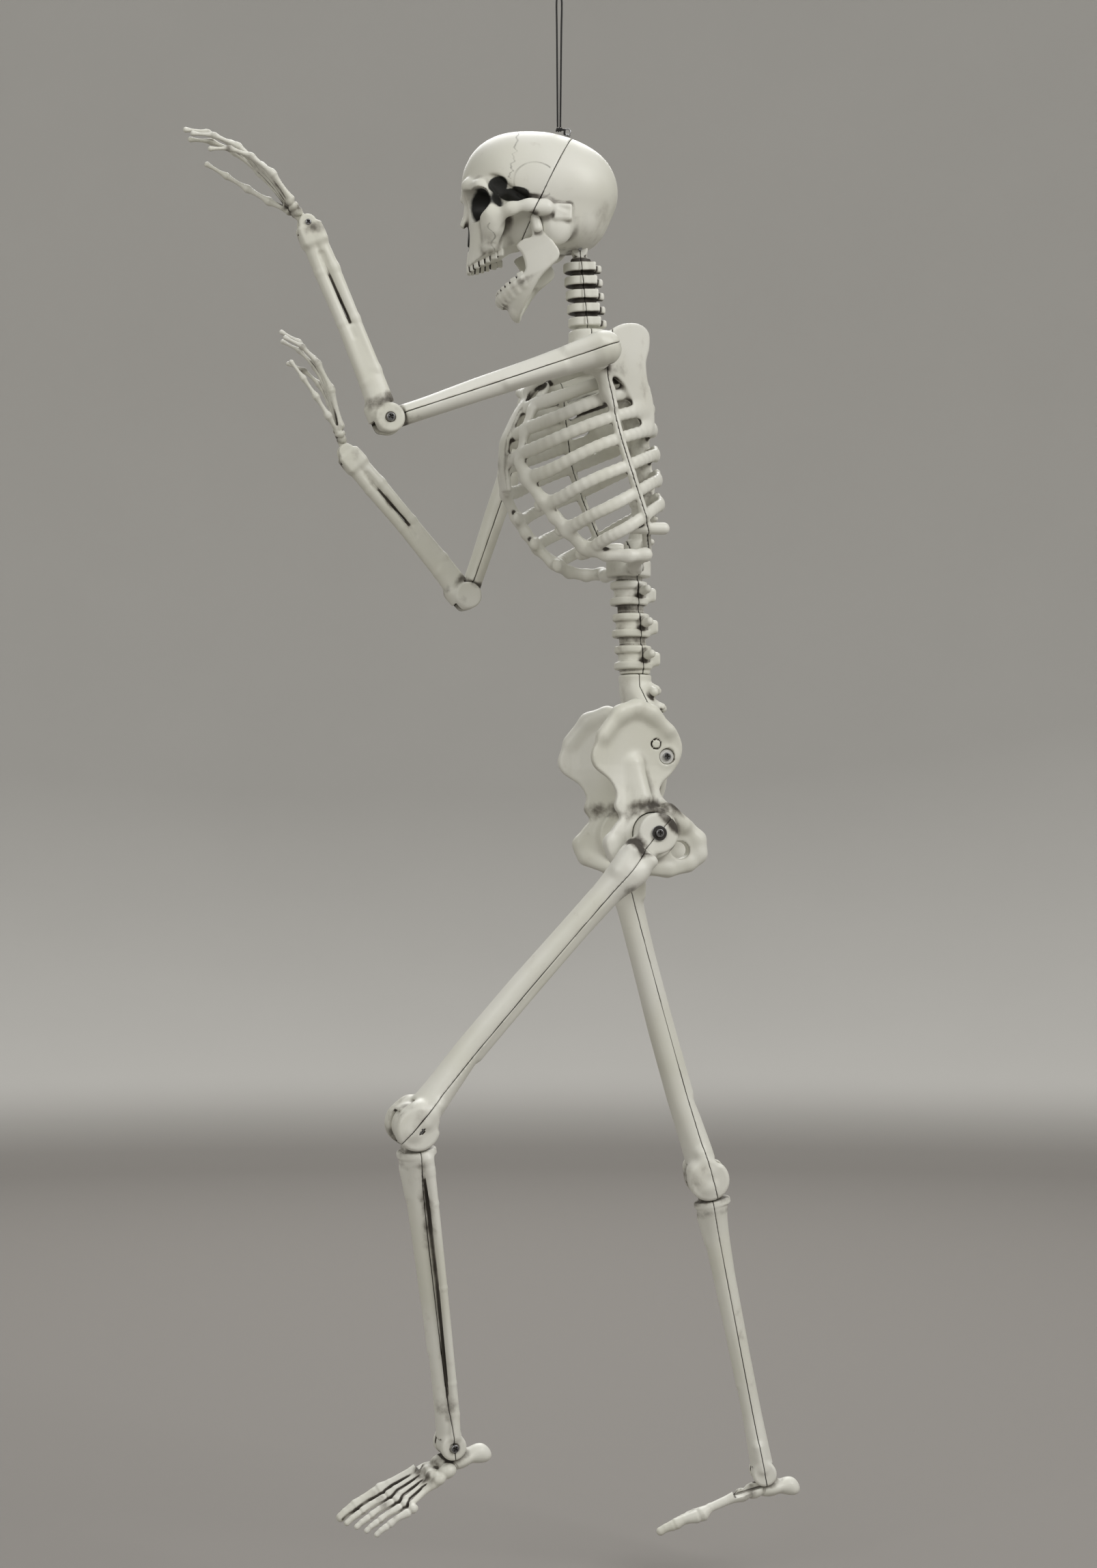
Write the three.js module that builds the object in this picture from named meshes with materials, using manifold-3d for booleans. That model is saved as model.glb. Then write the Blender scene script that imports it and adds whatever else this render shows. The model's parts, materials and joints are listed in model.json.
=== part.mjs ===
// A hanging, posable plastic skeleton figure, built as moulded shells, pivots and screws.
// Millimetres, +Z up. The figure faces -Y and its left side is at +X.
// The origin is the inside top of the hanging cord's loop, so the whole figure is below it.
import * as THREE from "three";
import { mergeVertices } from "three/addons/utils/BufferGeometryUtils.js";
import Module from "manifold-3d";

const wasm = await Module();
wasm.setup();

// ---- Driving dimensions -------------------------------------------------------------------
const loopDrop = 148; // loop top to the crown of the skull
const cordDiameter = 2;
const loopWidth = 5.6;
const clearance = 0.3; // between pieces that touch
const pivotClearance = 0.5; // between faces that turn past each other
const wall = 2.6; // moulded shells
const skullHeight = 127;
const skullWidth = 128;
const skullLength = 164;
const neckLength = 86; // head pivot to the swivel on the chest
const neckLean = 8; // the head pivot sits this far in front of the swivel
const chestHeight = 266; // neck swivel to the chest's bottom ring
const chestWidth = 234;
const ribCount = 9;
const lumbarLength = 105;
const shoulderSpan = 320; // between the shoulder pivots
const upperArmLength = 237;
const forearmLength = 209;
const handLength = 150;
const hipSpan = 186; // between the middles of the thigh heads
const femurLength = 396;
const kneeSplay = 12; // the knee sits this far outside the hip
const toeOut = 9; // degrees, twist of the thigh bone
const shinLength = 336;
const footLength = 170;
const screwRadius = 2; // shanks of the pivot screws

// ---- Pose, in degrees ---------------------------------------------------------------------
const headTurn = -10;
const jawOpen = 22;
const pose = {
  left: { thigh: 41.4, knee: 49.8, ankle: 16, arm: 70, elbow: 86.7, wrist: 20 },
  right: { thigh: -16, knee: -4.7, ankle: 4, arm: 19.5, elbow: 119.4, wrist: -22 },
};

// ---- Materials ----------------------------------------------------------------------------
const plastic = (colour) =>
  new THREE.MeshStandardMaterial({ color: colour, roughness: 0.42, metalness: 0 });
const steel = new THREE.MeshStandardMaterial({ color: 0x9c9d9f, roughness: 0.3, metalness: 1 });
const elastic = new THREE.MeshStandardMaterial({ color: 0x141414, roughness: 0.85, metalness: 0 });
const bone = plastic(0xe3e1d6);
const whitePlastic = plastic(0xf1f1ec);

// ---- Solids -------------------------------------------------------------------------------
const X = new THREE.Vector3(1, 0, 0);
const rad = THREE.MathUtils.degToRad;

function solid(geometry) {
  for (const extra of ["normal", "uv"]) geometry.deleteAttribute(extra);
  const merged = mergeVertices(geometry, 1e-4);
  return new wasm.Manifold(
    new wasm.Mesh({
      numProp: 3,
      vertProperties: merged.attributes.position.array,
      triVerts: new Uint32Array(merged.index.array),
    }),
  );
}

function surface(body) {
  const { vertProperties, triVerts } = body.getMesh();
  return new THREE.BufferGeometry()
    .setAttribute("position", new THREE.BufferAttribute(vertProperties, 3))
    .setIndex(new THREE.BufferAttribute(triVerts, 1));
}

// A moved, turned, scaled or mirrored copy of a solid.
function moved(body, matrix) {
  const geometry = surface(body).applyMatrix4(matrix);
  if (matrix.determinant() < 0) geometry.index.array.reverse();
  return solid(geometry);
}
const mirror = new THREE.Matrix4().makeScale(-1, 1, 1);

function piece(name, body, material) {
  const geometry = surface(body);
  geometry.computeVertexNormals();
  const mesh = new THREE.Mesh(geometry, material);
  mesh.name = name;
  return mesh;
}

const join = (...bodies) => bodies.reduce((sum, body) => sum.add(body));
const cut = (body, ...tools) => tools.reduce((rest, tool) => rest.subtract(tool), body);

// A limb of round sections. Each station is [x, y, z, side radius, depth radius], from the top down.
// The sections lie across the limb's own line, or level where level is true.
function limb(stations, sides = 10, level = false) {
  const rows = stations.length - 1;
  const shape = new THREE.CylinderGeometry(1, 1, 1, sides, rows);
  const centres = stations.map(([x, y, z]) => new THREE.Vector3(x, y, z));
  const frames = centres.map((_, i) => {
    const before = centres[Math.max(i - 1, 0)];
    const after = centres[Math.min(i + 1, rows)];
    const up = level ? new THREE.Vector3(0, 0, 1) : before.clone().sub(after).normalize();
    const depth = X.clone().cross(up).normalize();
    return [up.clone().cross(depth), depth];
  });
  const place = shape.attributes.position;
  const point = new THREE.Vector3();
  for (let i = 0; i < place.count; i++) {
    const row = Math.round((0.5 - place.getY(i)) * rows);
    const [side, depth] = frames[row];
    point
      .copy(centres[row])
      .addScaledVector(side, place.getX(i) * stations[row][3])
      .addScaledVector(depth, place.getZ(i) * stations[row][4]);
    place.setXYZ(i, ...point);
  }
  return solid(shape);
}

const ball = (x, y, z, rx, ry, rz, sides = 14) =>
  solid(new THREE.SphereGeometry(1, sides, Math.round(sides * 0.6)).scale(rx, ry, rz).translate(x, y, z));

// A round bar between two x, y or z values, centred on the other two coordinates.
const barX = (radius, from, to, y, z, sides = 10) =>
  solid(
    new THREE.CylinderGeometry(radius, radius, to - from, sides)
      .rotateZ(Math.PI / 2)
      .translate((from + to) / 2, y, z),
  );
const barY = (radius, from, to, x, z, sides = 10) =>
  solid(new THREE.CylinderGeometry(radius, radius, to - from, sides).translate(x, (from + to) / 2, z));
const barZ = (radius, from, to, x, y, sides = 12) =>
  solid(
    new THREE.CylinderGeometry(radius, radius, to - from, sides)
      .rotateX(Math.PI / 2)
      .translate(x, y, (from + to) / 2),
  );
// Holes and rooms: the flats of the faceted bar clear the radius.
const clear = (radius, sides) => radius / Math.cos(Math.PI / sides);
const holeX = (radius, from, to, y, z, sides = 10) => barX(clear(radius, sides), from, to, y, z, sides);
const holeY = (radius, from, to, x, z, sides = 10) => barY(clear(radius, sides), from, to, x, z, sides);
const holeZ = (radius, from, to, x, y, sides = 12) => barZ(clear(radius, sides), from, to, x, y, sides);
const block = (x0, x1, y0, y1, z0, z1) =>
  solid(
    new THREE.BoxGeometry(x1 - x0, y1 - y0, z1 - z0).translate(
      (x0 + x1) / 2,
      (y0 + y1) / 2,
      (z0 + z1) / 2,
    ),
  );
// The same on one side of the middle: s is 1 for the left and -1 for the right.
const spanX = (s, near, far) => (s > 0 ? [near, far] : [-far, -near]);
const sideBlock = (s, near, far, ...rest) => block(...spanX(s, near, far), ...rest);
const sideBarX = (s, radius, near, far, ...rest) => barX(radius, ...spanX(s, near, far), ...rest);
const sideHoleX = (s, radius, near, far, ...rest) => holeX(radius, ...spanX(s, near, far), ...rest);

// A strip of rectangular section swept along a curve.
function strip(points, width, thickness, steps) {
  const outline = new THREE.Shape()
    .moveTo(-width / 2, -thickness / 2)
    .lineTo(width / 2, -thickness / 2)
    .lineTo(width / 2, thickness / 2)
    .lineTo(-width / 2, thickness / 2);
  const path = new THREE.CatmullRomCurve3(points.map((p) => new THREE.Vector3(...p)));
  return solid(new THREE.ExtrudeGeometry(outline, { extrudePath: path, steps }));
}

// An outline given in y and z, as thick as from x0 to x1.
function plate(outline, x0, x1) {
  const shape = new THREE.Shape(outline.map(([y, z]) => new THREE.Vector2(y, z)));
  const flat = new THREE.ExtrudeGeometry(shape, { depth: x1 - x0, bevelEnabled: false });
  const toYZ = new THREE.Matrix4().set(0, 0, 1, x0, 1, 0, 0, 0, 0, 1, 0, 0, 0, 0, 0, 1);
  return solid(flat.applyMatrix4(toYZ));
}

// Slides each point sideways by a slope on its y, and then by a distance.
const slantX = (slope, x) => new THREE.Matrix4().set(1, slope, 0, x, 0, 1, 0, 0, 0, 0, 1, 0, 0, 0, 0, 1);

// Cuts a moulding into its front and rear halves along a line given in y and z.
const reach = 900;
function halves(body, line, gap = clearance) {
  const side = (shift, far) => [
    [far, line[0][1] + reach],
    [line[0][0] + shift, line[0][1] + reach],
    ...line.map(([y, z]) => [y + shift, z]),
    [line.at(-1)[0] + shift, line.at(-1)[1] - reach],
    [far, line.at(-1)[1] - reach],
  ];
  const front = plate(side(-gap / 2, -reach), -reach, reach);
  const rear = plate(side(gap / 2, reach), -reach, reach);
  return [body.intersect(front), body.intersect(rear)];
}

// A screw along X: a shank with a pan head on its outer end, and the recess that drives it.
const screwHead = { radius: 4.2, height: 2.6, recess: 1.2 };
function screwX(inner, outer, y = 0, z = 0, shank = screwRadius, head = screwHead.radius) {
  const top = outer + screwHead.height;
  return cut(
    join(barX(head, outer, top, y, z), barX(shank, inner, outer + 0.5, y, z, 6)),
    barX(head * 0.4, top - screwHead.recess, top + 1, y, z, 4),
  );
}
const screwHole = (from, to, y = 0, z = 0, shank = screwRadius) =>
  holeX(shank + clearance, from, to, y, z, 8);

const figure = new THREE.Group();
const at = (x, y, z) => {
  const group = new THREE.Group();
  group.position.set(x, y, z);
  return group;
};

// ---- Places of the trunk's joints, from the loop down -------------------------------------
const headHeight = -loopDrop - skullHeight + 2;
const neckSwivel = { y: 30.7, z: headHeight - neckLength };
const chestRing = { y: neckSwivel.y + 46, z: neckSwivel.z - chestHeight };
const waistSwivel = { y: chestRing.y + 7, z: chestRing.z - lumbarLength };
const spigotRadius = 8;
const spigotDisc = 11.5;
const spigotLength = 12;

// A clamped swivel: the upper piece's spigot and the chamber that holds it in the lower piece.
const spigot = (y, top) =>
  join(
    barZ(spigotRadius, top - spigotLength, top + 3, 0, y),
    barZ(spigotDisc, top - spigotLength, top - spigotLength + 4.5, 0, y),
  );
const spigotRoom = (y, top) =>
  join(
    holeZ(spigotRadius + pivotClearance, top - spigotLength - 1, top + 3, 0, y),
    holeZ(spigotDisc + pivotClearance, top - spigotLength - pivotClearance, top - spigotLength + 5, 0, y),
  );

// ---- Head ---------------------------------------------------------------------------------
// Built about the head pivot: z is height over it and y runs from the face (-) to the back (+).
const jawPivot = { y: -48.8, z: 15, face: 47.4, pin: 3.5 };
const neckLug = { inner: 9.6, outer: 14.5 };
// The neck turns on its swivel, and the head pivot is at the neck's top.
const neckTurn = at(0, neckSwivel.y, neckSwivel.z);
neckTurn.rotation.z = rad(headTurn);
const head = at(0, -neckLean, neckLength);
head.name = "head_nod";
neckTurn.add(head);
figure.add(neckTurn);

// Sections of the braincase: [share of height, distance in front, distance behind (-), share of half width].
const crownSections = [
  [1, 66, 46, 0.16],
  [0.976, 92, 16, 0.52],
  [0.91, 107, -8, 0.78],
  [0.81, 117, -25, 0.93],
  [0.67, 122, -37, 1],
  [0.53, 122, -skullLength + 122, 1],
  [0.4, 117, -40, 0.96],
  [0.27, 108, -36, 0.86],
  [0.14, 97, -26, 0.68],
  [0.02, 84, -13, 0.56],
  [-0.03, 66, 2, 0.42],
];
const braincase = (frontLimit, sides) =>
  limb(
    crownSections.map(([height, front, back, share]) => {
      const face = Math.min(front, frontLimit);
      const nape = Math.min(back, face - 4);
      return [0, -(face + nape) / 2, height * skullHeight, (share * skullWidth) / 2, (face - nape) / 2];
    }),
    sides,
    true,
  );
// The same shape drawn in by the wall, about the braincase's middle.
const innerCase = (frontLimit) => {
  const middle = new THREE.Vector3(0, -41, skullHeight / 2);
  const shrink = new THREE.Matrix4().makeScale(
    1 - (2 * wall) / skullWidth,
    1 - (2 * wall) / skullLength,
    1 - (2.4 * wall) / skullHeight,
  );
  const matrix = new THREE.Matrix4().makeTranslation(middle).multiply(shrink)
    .multiply(new THREE.Matrix4().makeTranslation(middle.negate()));
  return moved(braincase(frontLimit, 10), matrix);
};

function makeSkull() {
  const face = limb([
    [0, -99, 52, 48, 23],
    [0, -94, 32, 50, 24],
    [0, -93, 14, 42, 24],
    [0, -96, -6, 31, 24],
    [0, -98, -20, 27, 22.5],
    [0, -99, -31, 25, 19.5],
  ], 10, true);
  const noseBridge = limb([[0, -120, 52, 7, 4], [0, -124, 36, 6, 5], [0, -126, 22, 8, 5]], 6, true);
  const outside = [];
  const hollows = [];
  const cups = []; // the orbits' closed backs
  for (const s of [-1, 1]) {
    const cheek = [
      [s * 60, -34, 23, 4, 4.5],
      [s * 63.5, -56, 20, 3.6, 4.5],
      [s * 60, -76, 15, 4.5, 6.5],
      [s * 44, -94, 9, 9, 9],
    ];
    outside.push(limb(cheek, 6));
    outside.push(sideBlock(s, 46, 62, -37, -31, 17, 29));
    outside.push(sideBarX(s, 6.5, 30, jawPivot.face, jawPivot.y, jawPivot.z));
    outside.push(sideBarX(s, 7.5, neckLug.inner, neckLug.outer, 0, 0));
    hollows.push(ball(s * 28, -114, 30, 16.5, 24, 18, 10));
    cups.push(ball(s * 28, -114, 30, 16.5 + wall, 24 + wall, 18 + wall, 10));
    hollows.push(sideHoleX(s, jawPivot.pin + pivotClearance, 40.5, 60, jawPivot.y, jawPivot.z));
    // room between the skull and the cheekbone, where the jaw's upper end turns
    hollows.push(sideBlock(s, jawPivot.face, 56.4, -82, -38.5, -40, 30));
  }
  const nose = limb([[0, -124, 19, 4, 12], [0, -122, 8, 10, 12], [0, -122, -2, 9, 8]], 6, true);
  const neckRoom = join(
    holeX(9.8, -neckLug.inner, neckLug.inner, 0, 0),
    block(-neckLug.inner, neckLug.inner, -11, 11, -30, 0),
  );
  const palate = limb([[0, -88, -12, 17, 13], [0, -86, -40, 20, 17]], 8, true);
  const inside = cut(
    innerCase(116),
    block(-22, 22, -24, 20, -30, 13),
    block(-60, -30, -62, -36, 5, 26),
    block(30, 60, -62, -36, 5, 26),
    block(-14, 14, -130, -104, -10, 30),
    ...cups,
  );
  const shell = cut(
    join(braincase(200, 14), face, noseBridge, ...outside),
    inside,
    ...hollows,
    nose,
    neckRoom,
    palate,
    screwHole(-16.5, 16.5),
    barZ(9, -30, 30, 0, -46),
    holeZ(1.3 + clearance, skullHeight - 14, skullHeight + 10, 0, eyelet.y, 8),
  );
  return halves(shell, [[-9, 118], [-66, 0]]);
}

const eyelet = { y: -13, ring: 3.2, wire: 0.8, z: skullHeight + 2.6 };
function makeEyelet() {
  const foot = eyelet.z - eyelet.ring - eyelet.wire;
  const ring = solid(new THREE.TorusGeometry(eyelet.ring, eyelet.wire, 6, 14).rotateY(Math.PI / 2)
    .translate(0, eyelet.y, eyelet.z));
  return join(
    ring,
    barZ(3.4, foot - 0.6, foot + 0.5, 0, eyelet.y, 12),
    barZ(1.3, foot - 9, foot, 0, eyelet.y, 8),
  );
}

// The knot's lower bight goes through the eyelet's ring.
const knot = { y: eyelet.y - 9.2, z: eyelet.z + 2.4 };
function makeKnot() {
  const bight = solid(
    new THREE.TorusGeometry(2.3, cordDiameter / 2, 6, 12).translate(0, eyelet.y - eyelet.ring, eyelet.z),
  );
  return join(bight, ball(0, knot.y, knot.z, 2.8, 4.3, 2.7, 10));
}

function makeCord() {
  head.updateWorldMatrix(true);
  const start = head.localToWorld(new THREE.Vector3(0, knot.y, knot.z + 2.7 + clearance));
  const turnRadius = loopWidth / 2;
  const bend = cordDiameter / 2 - turnRadius; // height of the bend's centre, so that the inside top is at 0
  const points = [];
  points.push(new THREE.Vector3(start.x, start.y - 1.5, start.z));
  points.push(new THREE.Vector3(start.x * 0.6, start.y * 0.6 - 2, start.z * 0.6));
  points.push(new THREE.Vector3(start.x * 0.25, start.y * 0.25 - 2.5, start.z * 0.25));
  for (let i = 0; i <= 6; i++) {
    const angle = Math.PI * (1 - i / 6);
    points.push(new THREE.Vector3(0, turnRadius * Math.cos(angle), bend + turnRadius * Math.sin(angle)));
  }
  points.push(new THREE.Vector3(start.x * 0.25, start.y * 0.25 + 2.5, start.z * 0.25));
  points.push(new THREE.Vector3(start.x * 0.6, start.y * 0.6 + 2, start.z * 0.6));
  points.push(new THREE.Vector3(start.x, start.y + 1.5, start.z));
  const section = new THREE.Shape();
  const sides = 8;
  for (let i = 0; i < sides; i++) {
    const angle = (2 * Math.PI * i) / sides;
    const [u, v] = [Math.cos(angle), Math.sin(angle)].map((share) => (share * cordDiameter) / 2);
    i ? section.lineTo(u, v) : section.moveTo(u, v);
  }
  const path = new THREE.CatmullRomCurve3(points, false, "centripetal");
  return solid(new THREE.ExtrudeGeometry(section, { extrudePath: path, steps: 60 }));
}

const [skullFront, skullRear] = makeSkull();
head.add(piece("skull_front", skullFront, bone));
head.add(piece("skull_rear", skullRear, bone));
head.add(piece("hanging_eyelet", makeEyelet(), steel));
head.add(piece("cord_knot", makeKnot(), elastic));
figure.add(piece("hanging_cord", makeCord(), elastic));

// The jaw, drawn shut about its own pivot and then opened.
function makeJaw() {
  const parts = [];
  const body = [
    [50, 9, -40],
    [47, -14, -50],
    [36, -38, -56],
    [18, -50, -60],
    [0, -53, -61],
    [-18, -50, -60],
    [-36, -38, -56],
    [-47, -14, -50],
    [-50, 9, -40],
  ];
  parts.push(strip(body, 24, 7, 16));
  parts.push(ball(0, -52, -72, 13, 6, 10, 8));
  for (const s of [-1, 1]) {
    parts.push(limb([
      [s * 52, 0, 6, 3.2, 7],
      [s * 51.6, 0, -14, 3, 10],
      [s * 50.5, 1, -34, 3.5, 13],
      [s * 49, 3, -50, 3.5, 12],
    ], 6));
    parts.push(sideBarX(s, jawPivot.pin, 41.5, 52, 0, 0));
  }
  return join(...parts);
}
const jaw = at(0, jawPivot.y, jawPivot.z);
jaw.name = "jaw_hinge";
jaw.rotation.x = rad(jawOpen);
jaw.add(piece("jaw", makeJaw(), bone));
head.add(jaw);

// Neck pivot pin, held in the skull's lugs.
head.add(piece("neck_pin", barX(screwRadius, -neckLug.outer + 0.5, neckLug.outer - 0.5, 0, 0, 14), steel));

// ---- Neck ---------------------------------------------------------------------------------
const neckDiscs = 5;
function makeNeck() {
  const top = -13;
  const pitch = (neckLength - 16 + top + 17) / neckDiscs;
  const axisY = (z) => (-z / neckLength) * neckLean;
  const parts = [
    barX(8.6, -neckLug.inner + pivotClearance, neckLug.inner - pivotClearance, 0, 0),
    limb([[0, 0, 2, 8.4, 7], [0, axisY(-17), -17, 8.4, 7]], 8),
  ];
  const core = [[0, axisY(top), top, 12, 12], [0, axisY(-neckLength + 2), -neckLength + 2, 12, 12]];
  parts.push(limb(core, 8));
  for (let i = 0; i < neckDiscs; i++) {
    const z = top - 1 - pitch * (i + 0.5) + pitch * 0.5 - 4;
    const y = axisY(z);
    parts.push(limb([
      [0, y, z + 4, 17, 16],
      [0, y, z - 1, 19, 18],
      [0, y, z - 6, 17, 16],
    ], 8));
    parts.push(limb([[0, y + 10, z - 1, 5, 5], [0, y + 22, z - 4, 3.5, 4]], 4));
  }
  parts.push(spigot(neckLean, -neckLength));
  const whole = cut(join(...parts), screwHole(-20, 20));
  return halves(whole, [[0, 0], [0.5, -12], [neckLean, -neckLength]]);
}
const [neckFront, neckRear] = makeNeck();
head.add(piece("neck_front", neckFront, bone));
head.add(piece("neck_rear", neckRear, bone));

// ---- Chest --------------------------------------------------------------------------------
// Built about the neck swivel. Outline stations: [z, half width share, front y, back y].
const chest = at(0, neckSwivel.y, neckSwivel.z);
chest.name = "neck_turn";
const chestBase = 4 - chestHeight;
const chestOutline = [
  [-20, 0.42, -24, 36],
  [-58, 0.72, -52, 62],
  [-95, 0.9, -78, 72],
  [-0.52 * chestHeight, 0.98, -92, 75],
  [-0.69 * chestHeight, 1, -88, 79],
  [-0.86 * chestHeight, 0.95, -58, 84],
  [chestBase, 0.8, -16, 78],
];
function chestAt(z) {
  const i = Math.min(
    Math.max(chestOutline.findIndex(([level]) => level < z), 1),
    chestOutline.length - 1,
  );
  const last = z < chestOutline.at(-1)[0] ? chestOutline.length - 1 : i;
  const [a, b] = [chestOutline[last - 1], chestOutline[last]];
  const t = THREE.MathUtils.clamp((z - a[0]) / (b[0] - a[0]), 0, 1);
  const [share, front, back] = [1, 2, 3].map((k) => THREE.MathUtils.lerp(a[k], b[k], t));
  return { half: (share * chestWidth) / 2, front, back };
}
// A point on the chest's surface, by angle from the breastbone (0) round to the spine (180).
function onChest(angle, z, side, sink = 0) {
  const { half, front, back } = chestAt(z);
  const across = (half - sink) * Math.sin(rad(angle));
  const along = (back + front) / 2 - ((back - front) / 2 - sink) * Math.cos(rad(angle));
  return [side * across, along, z];
}
const ribDrop = 30; // a rib is this much lower in front than at the side
const topRib = -42;
const ribPitch = (chestHeight - 66) / (ribCount - 1);
const ribLevel = (i, angle) => topRib - ribPitch * i - ribDrop * Math.cos(rad(angle));
// The costal margin runs from the breastbone's tip down and out to the side.
const marginTop = 108 - chestHeight;
const marginLevel = (angle) =>
  marginTop - (marginTop - chestBase) * Math.sin(rad(Math.min(angle, 90))) ** 0.8;
const seam = [
  [0, 20],
  [0, -26],
  [-21, -42],
  [-21, -66],
  [-2, -0.47 * chestHeight],
  [46, chestBase + 14],
  [53, chestBase],
];
// The y of a line of [y, z] points at a height.
function levelOn(line, z) {
  const below = line.findIndex(([, level]) => level < z);
  const i = below < 0 ? line.length - 1 : Math.max(below, 1);
  const [a, b] = [line[i - 1], line[i]];
  return THREE.MathUtils.lerp(a[0], b[0], THREE.MathUtils.clamp((z - a[1]) / (b[1] - a[1]), 0, 1));
}
const shoulder = {
  y: -21,
  z: -50,
  inner: shoulderSpan / 2 - 52,
  outer: shoulderSpan / 2 - 26,
  radius: 16,
  neck: 8,
  disc: 11.5,
};
const ribWall = 7;
const ribThickness = 4.4;
// the line of the vertebrae's bodies, as y and z
const spine = [
  [2, -18],
  [34, -60],
  [57, -0.41 * chestHeight],
  [63, -0.64 * chestHeight],
  [58, -0.85 * chestHeight],
  [46, chestBase],
];
const chestScrew = { x: chestWidth / 2 - 25, z: chestBase + 38, wallX: chestWidth / 2 - 5 };

function makeChest() {
  const parts = [barZ(20, -18, 0 - pivotClearance, 0, 0), barZ(24, -26, -17, 0, 0)];
  // breastbone and the two bars that carry it from the collar
  parts.push(limb([
    [0, -66, -88, 15, 4],
    [0, -79, -110, 11, 4],
    [0, -89, -140, 12, 4],
    [0, -86, -168, 9, 4],
  ], 6));
  for (const s of [-1, 1]) {
    parts.push(limb([[s * 13, -10, -20, 6, 6], [s * 15, -40, -52, 5, 6], [s * 9, -70, -94, 6, 5]], 5));
    // collarbone, from the breastbone's top to the shoulder
    parts.push(limb([
      [s * 8, -72, -88, 6, 6],
      [s * 46, -64, -74, 5, 6],
      [s * 84, -40, -58, 5, 6],
      [s * (shoulder.inner + 10), shoulder.y - 4, shoulder.z, 5, 8],
    ], 5));
    // shoulder blade
    const blade = [
      [-10, -34], [36, -20], [58, -30], [64, -60], [72, -120], [58, -128], [16, -66], [-10, -58],
    ];
    const bladeBody = moved(plate(blade, -4, 4), slantX(-0.72, chestWidth / 2 - 8));
    parts.push(s > 0 ? bladeBody : moved(bladeBody, mirror));
    parts.push(sideBarX(s, shoulder.radius, shoulder.inner - 8, shoulder.outer, shoulder.y, shoulder.z));
    // ribs
    for (let i = 0; i < ribCount; i++) {
      const points = [];
      for (let angle = 6; angle <= 176; angle += 10) {
        const z = ribLevel(i, angle);
        if (z > marginLevel(angle) - 4 || angle > 90) points.push(onChest(angle, z, s, ribWall / 2));
      }
      parts.push(strip(points, ribThickness, 11, 6));
    }
    // costal margin, then in to the bottom ring
    const margin = [];
    for (let angle = 6; angle <= 78; angle += 12)
      margin.push(onChest(angle, marginLevel(angle), s, ribWall / 2));
    margin.push([s * 62, 34, chestBase - 1]);
    margin.push([s * 34, 48, chestBase + 2]);
    margin.push([s * 10, 46, chestBase + 3]);
    parts.push(strip(margin, ribThickness, 12, 7));
    // seam flanges
    const flange = [];
    const flangeRows = 8;
    for (let row = 0; row <= flangeRows; row++) {
      const z = THREE.MathUtils.lerp(shoulder.z + 4, chestBase + 2, row / flangeRows);
      const y = levelOn(seam, z);
      const { half, front, back } = chestAt(z);
      const reachY = (y - (front + back) / 2) / ((back - front) / 2 - ribWall / 2);
      flange.push([s * (half - ribWall / 2) * Math.sqrt(Math.max(1 - reachY ** 2, 0.1)), y, z]);
    }
    parts.push(strip(flange, 6, 15, 5));
    parts.push(barY(6, 20, 62, s * chestScrew.x, chestScrew.z));
    parts.push(sideBlock(s, chestScrew.x, chestScrew.wallX, 24, 58, chestScrew.z - 4, chestScrew.z + 4));
  }
  // spine inside the rear half
  parts.push(limb(spine.map(([y, z]) => [0, y, z, 11, 10]), 7));
  for (let i = 0; i < ribCount - 1; i++) {
    const z = -62 - ribPitch * i;
    const back = chestAt(z).back;
    parts.push(limb([[0, levelOn(spine, z) + 4, z + 5, 4, 5], [0, back + 4, z - 4, 3, 5]], 4));
  }
  const ringY = chestRing.y - neckSwivel.y;
  parts.push(barZ(24, -chestHeight, -chestHeight + 18, 0, ringY, 16));
  const rooms = [
    spigotRoom(0, 0),
    holeZ(13 + clearance, -chestHeight + 4, -chestHeight + 12, 0, ringY),
    holeZ(9 + clearance, -chestHeight - 2, -chestHeight + 6, 0, ringY),
    block(-200, 200, -200, 200, pivotClearance * -1, 40),
  ];
  for (const s of [-1, 1]) {
    const { inner, outer, neck, disc, y, z } = shoulder;
    rooms.push(sideHoleX(s, neck + pivotClearance, inner, outer + 4, y, z));
    rooms.push(sideHoleX(s, disc + pivotClearance, inner + 4, inner + 12, y, z));
    rooms.push(holeY(screwRadius + clearance, 26, 70, s * chestScrew.x, chestScrew.z, 8));
  }
  return halves(cut(join(...parts), ...rooms), seam);
}
const [chestFront, chestRear] = makeChest();
chest.add(piece("ribcage_front", chestFront, bone));
chest.add(piece("ribcage_rear", chestRear, bone));
// A screw along Y, its head at the back.
const screwY = (inner, outer, x, z) =>
  moved(screwX(inner, outer), new THREE.Matrix4().makeRotationZ(Math.PI / 2).setPosition(x, 0, z));
for (const [label, s] of [["left", 1], ["right", -1]]) {
  const body = screwY(28, 62 + clearance, s * chestScrew.x, chestScrew.z);
  chest.add(piece(`ribcage_screw_${label}`, body, steel));
}
figure.add(chest);

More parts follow.
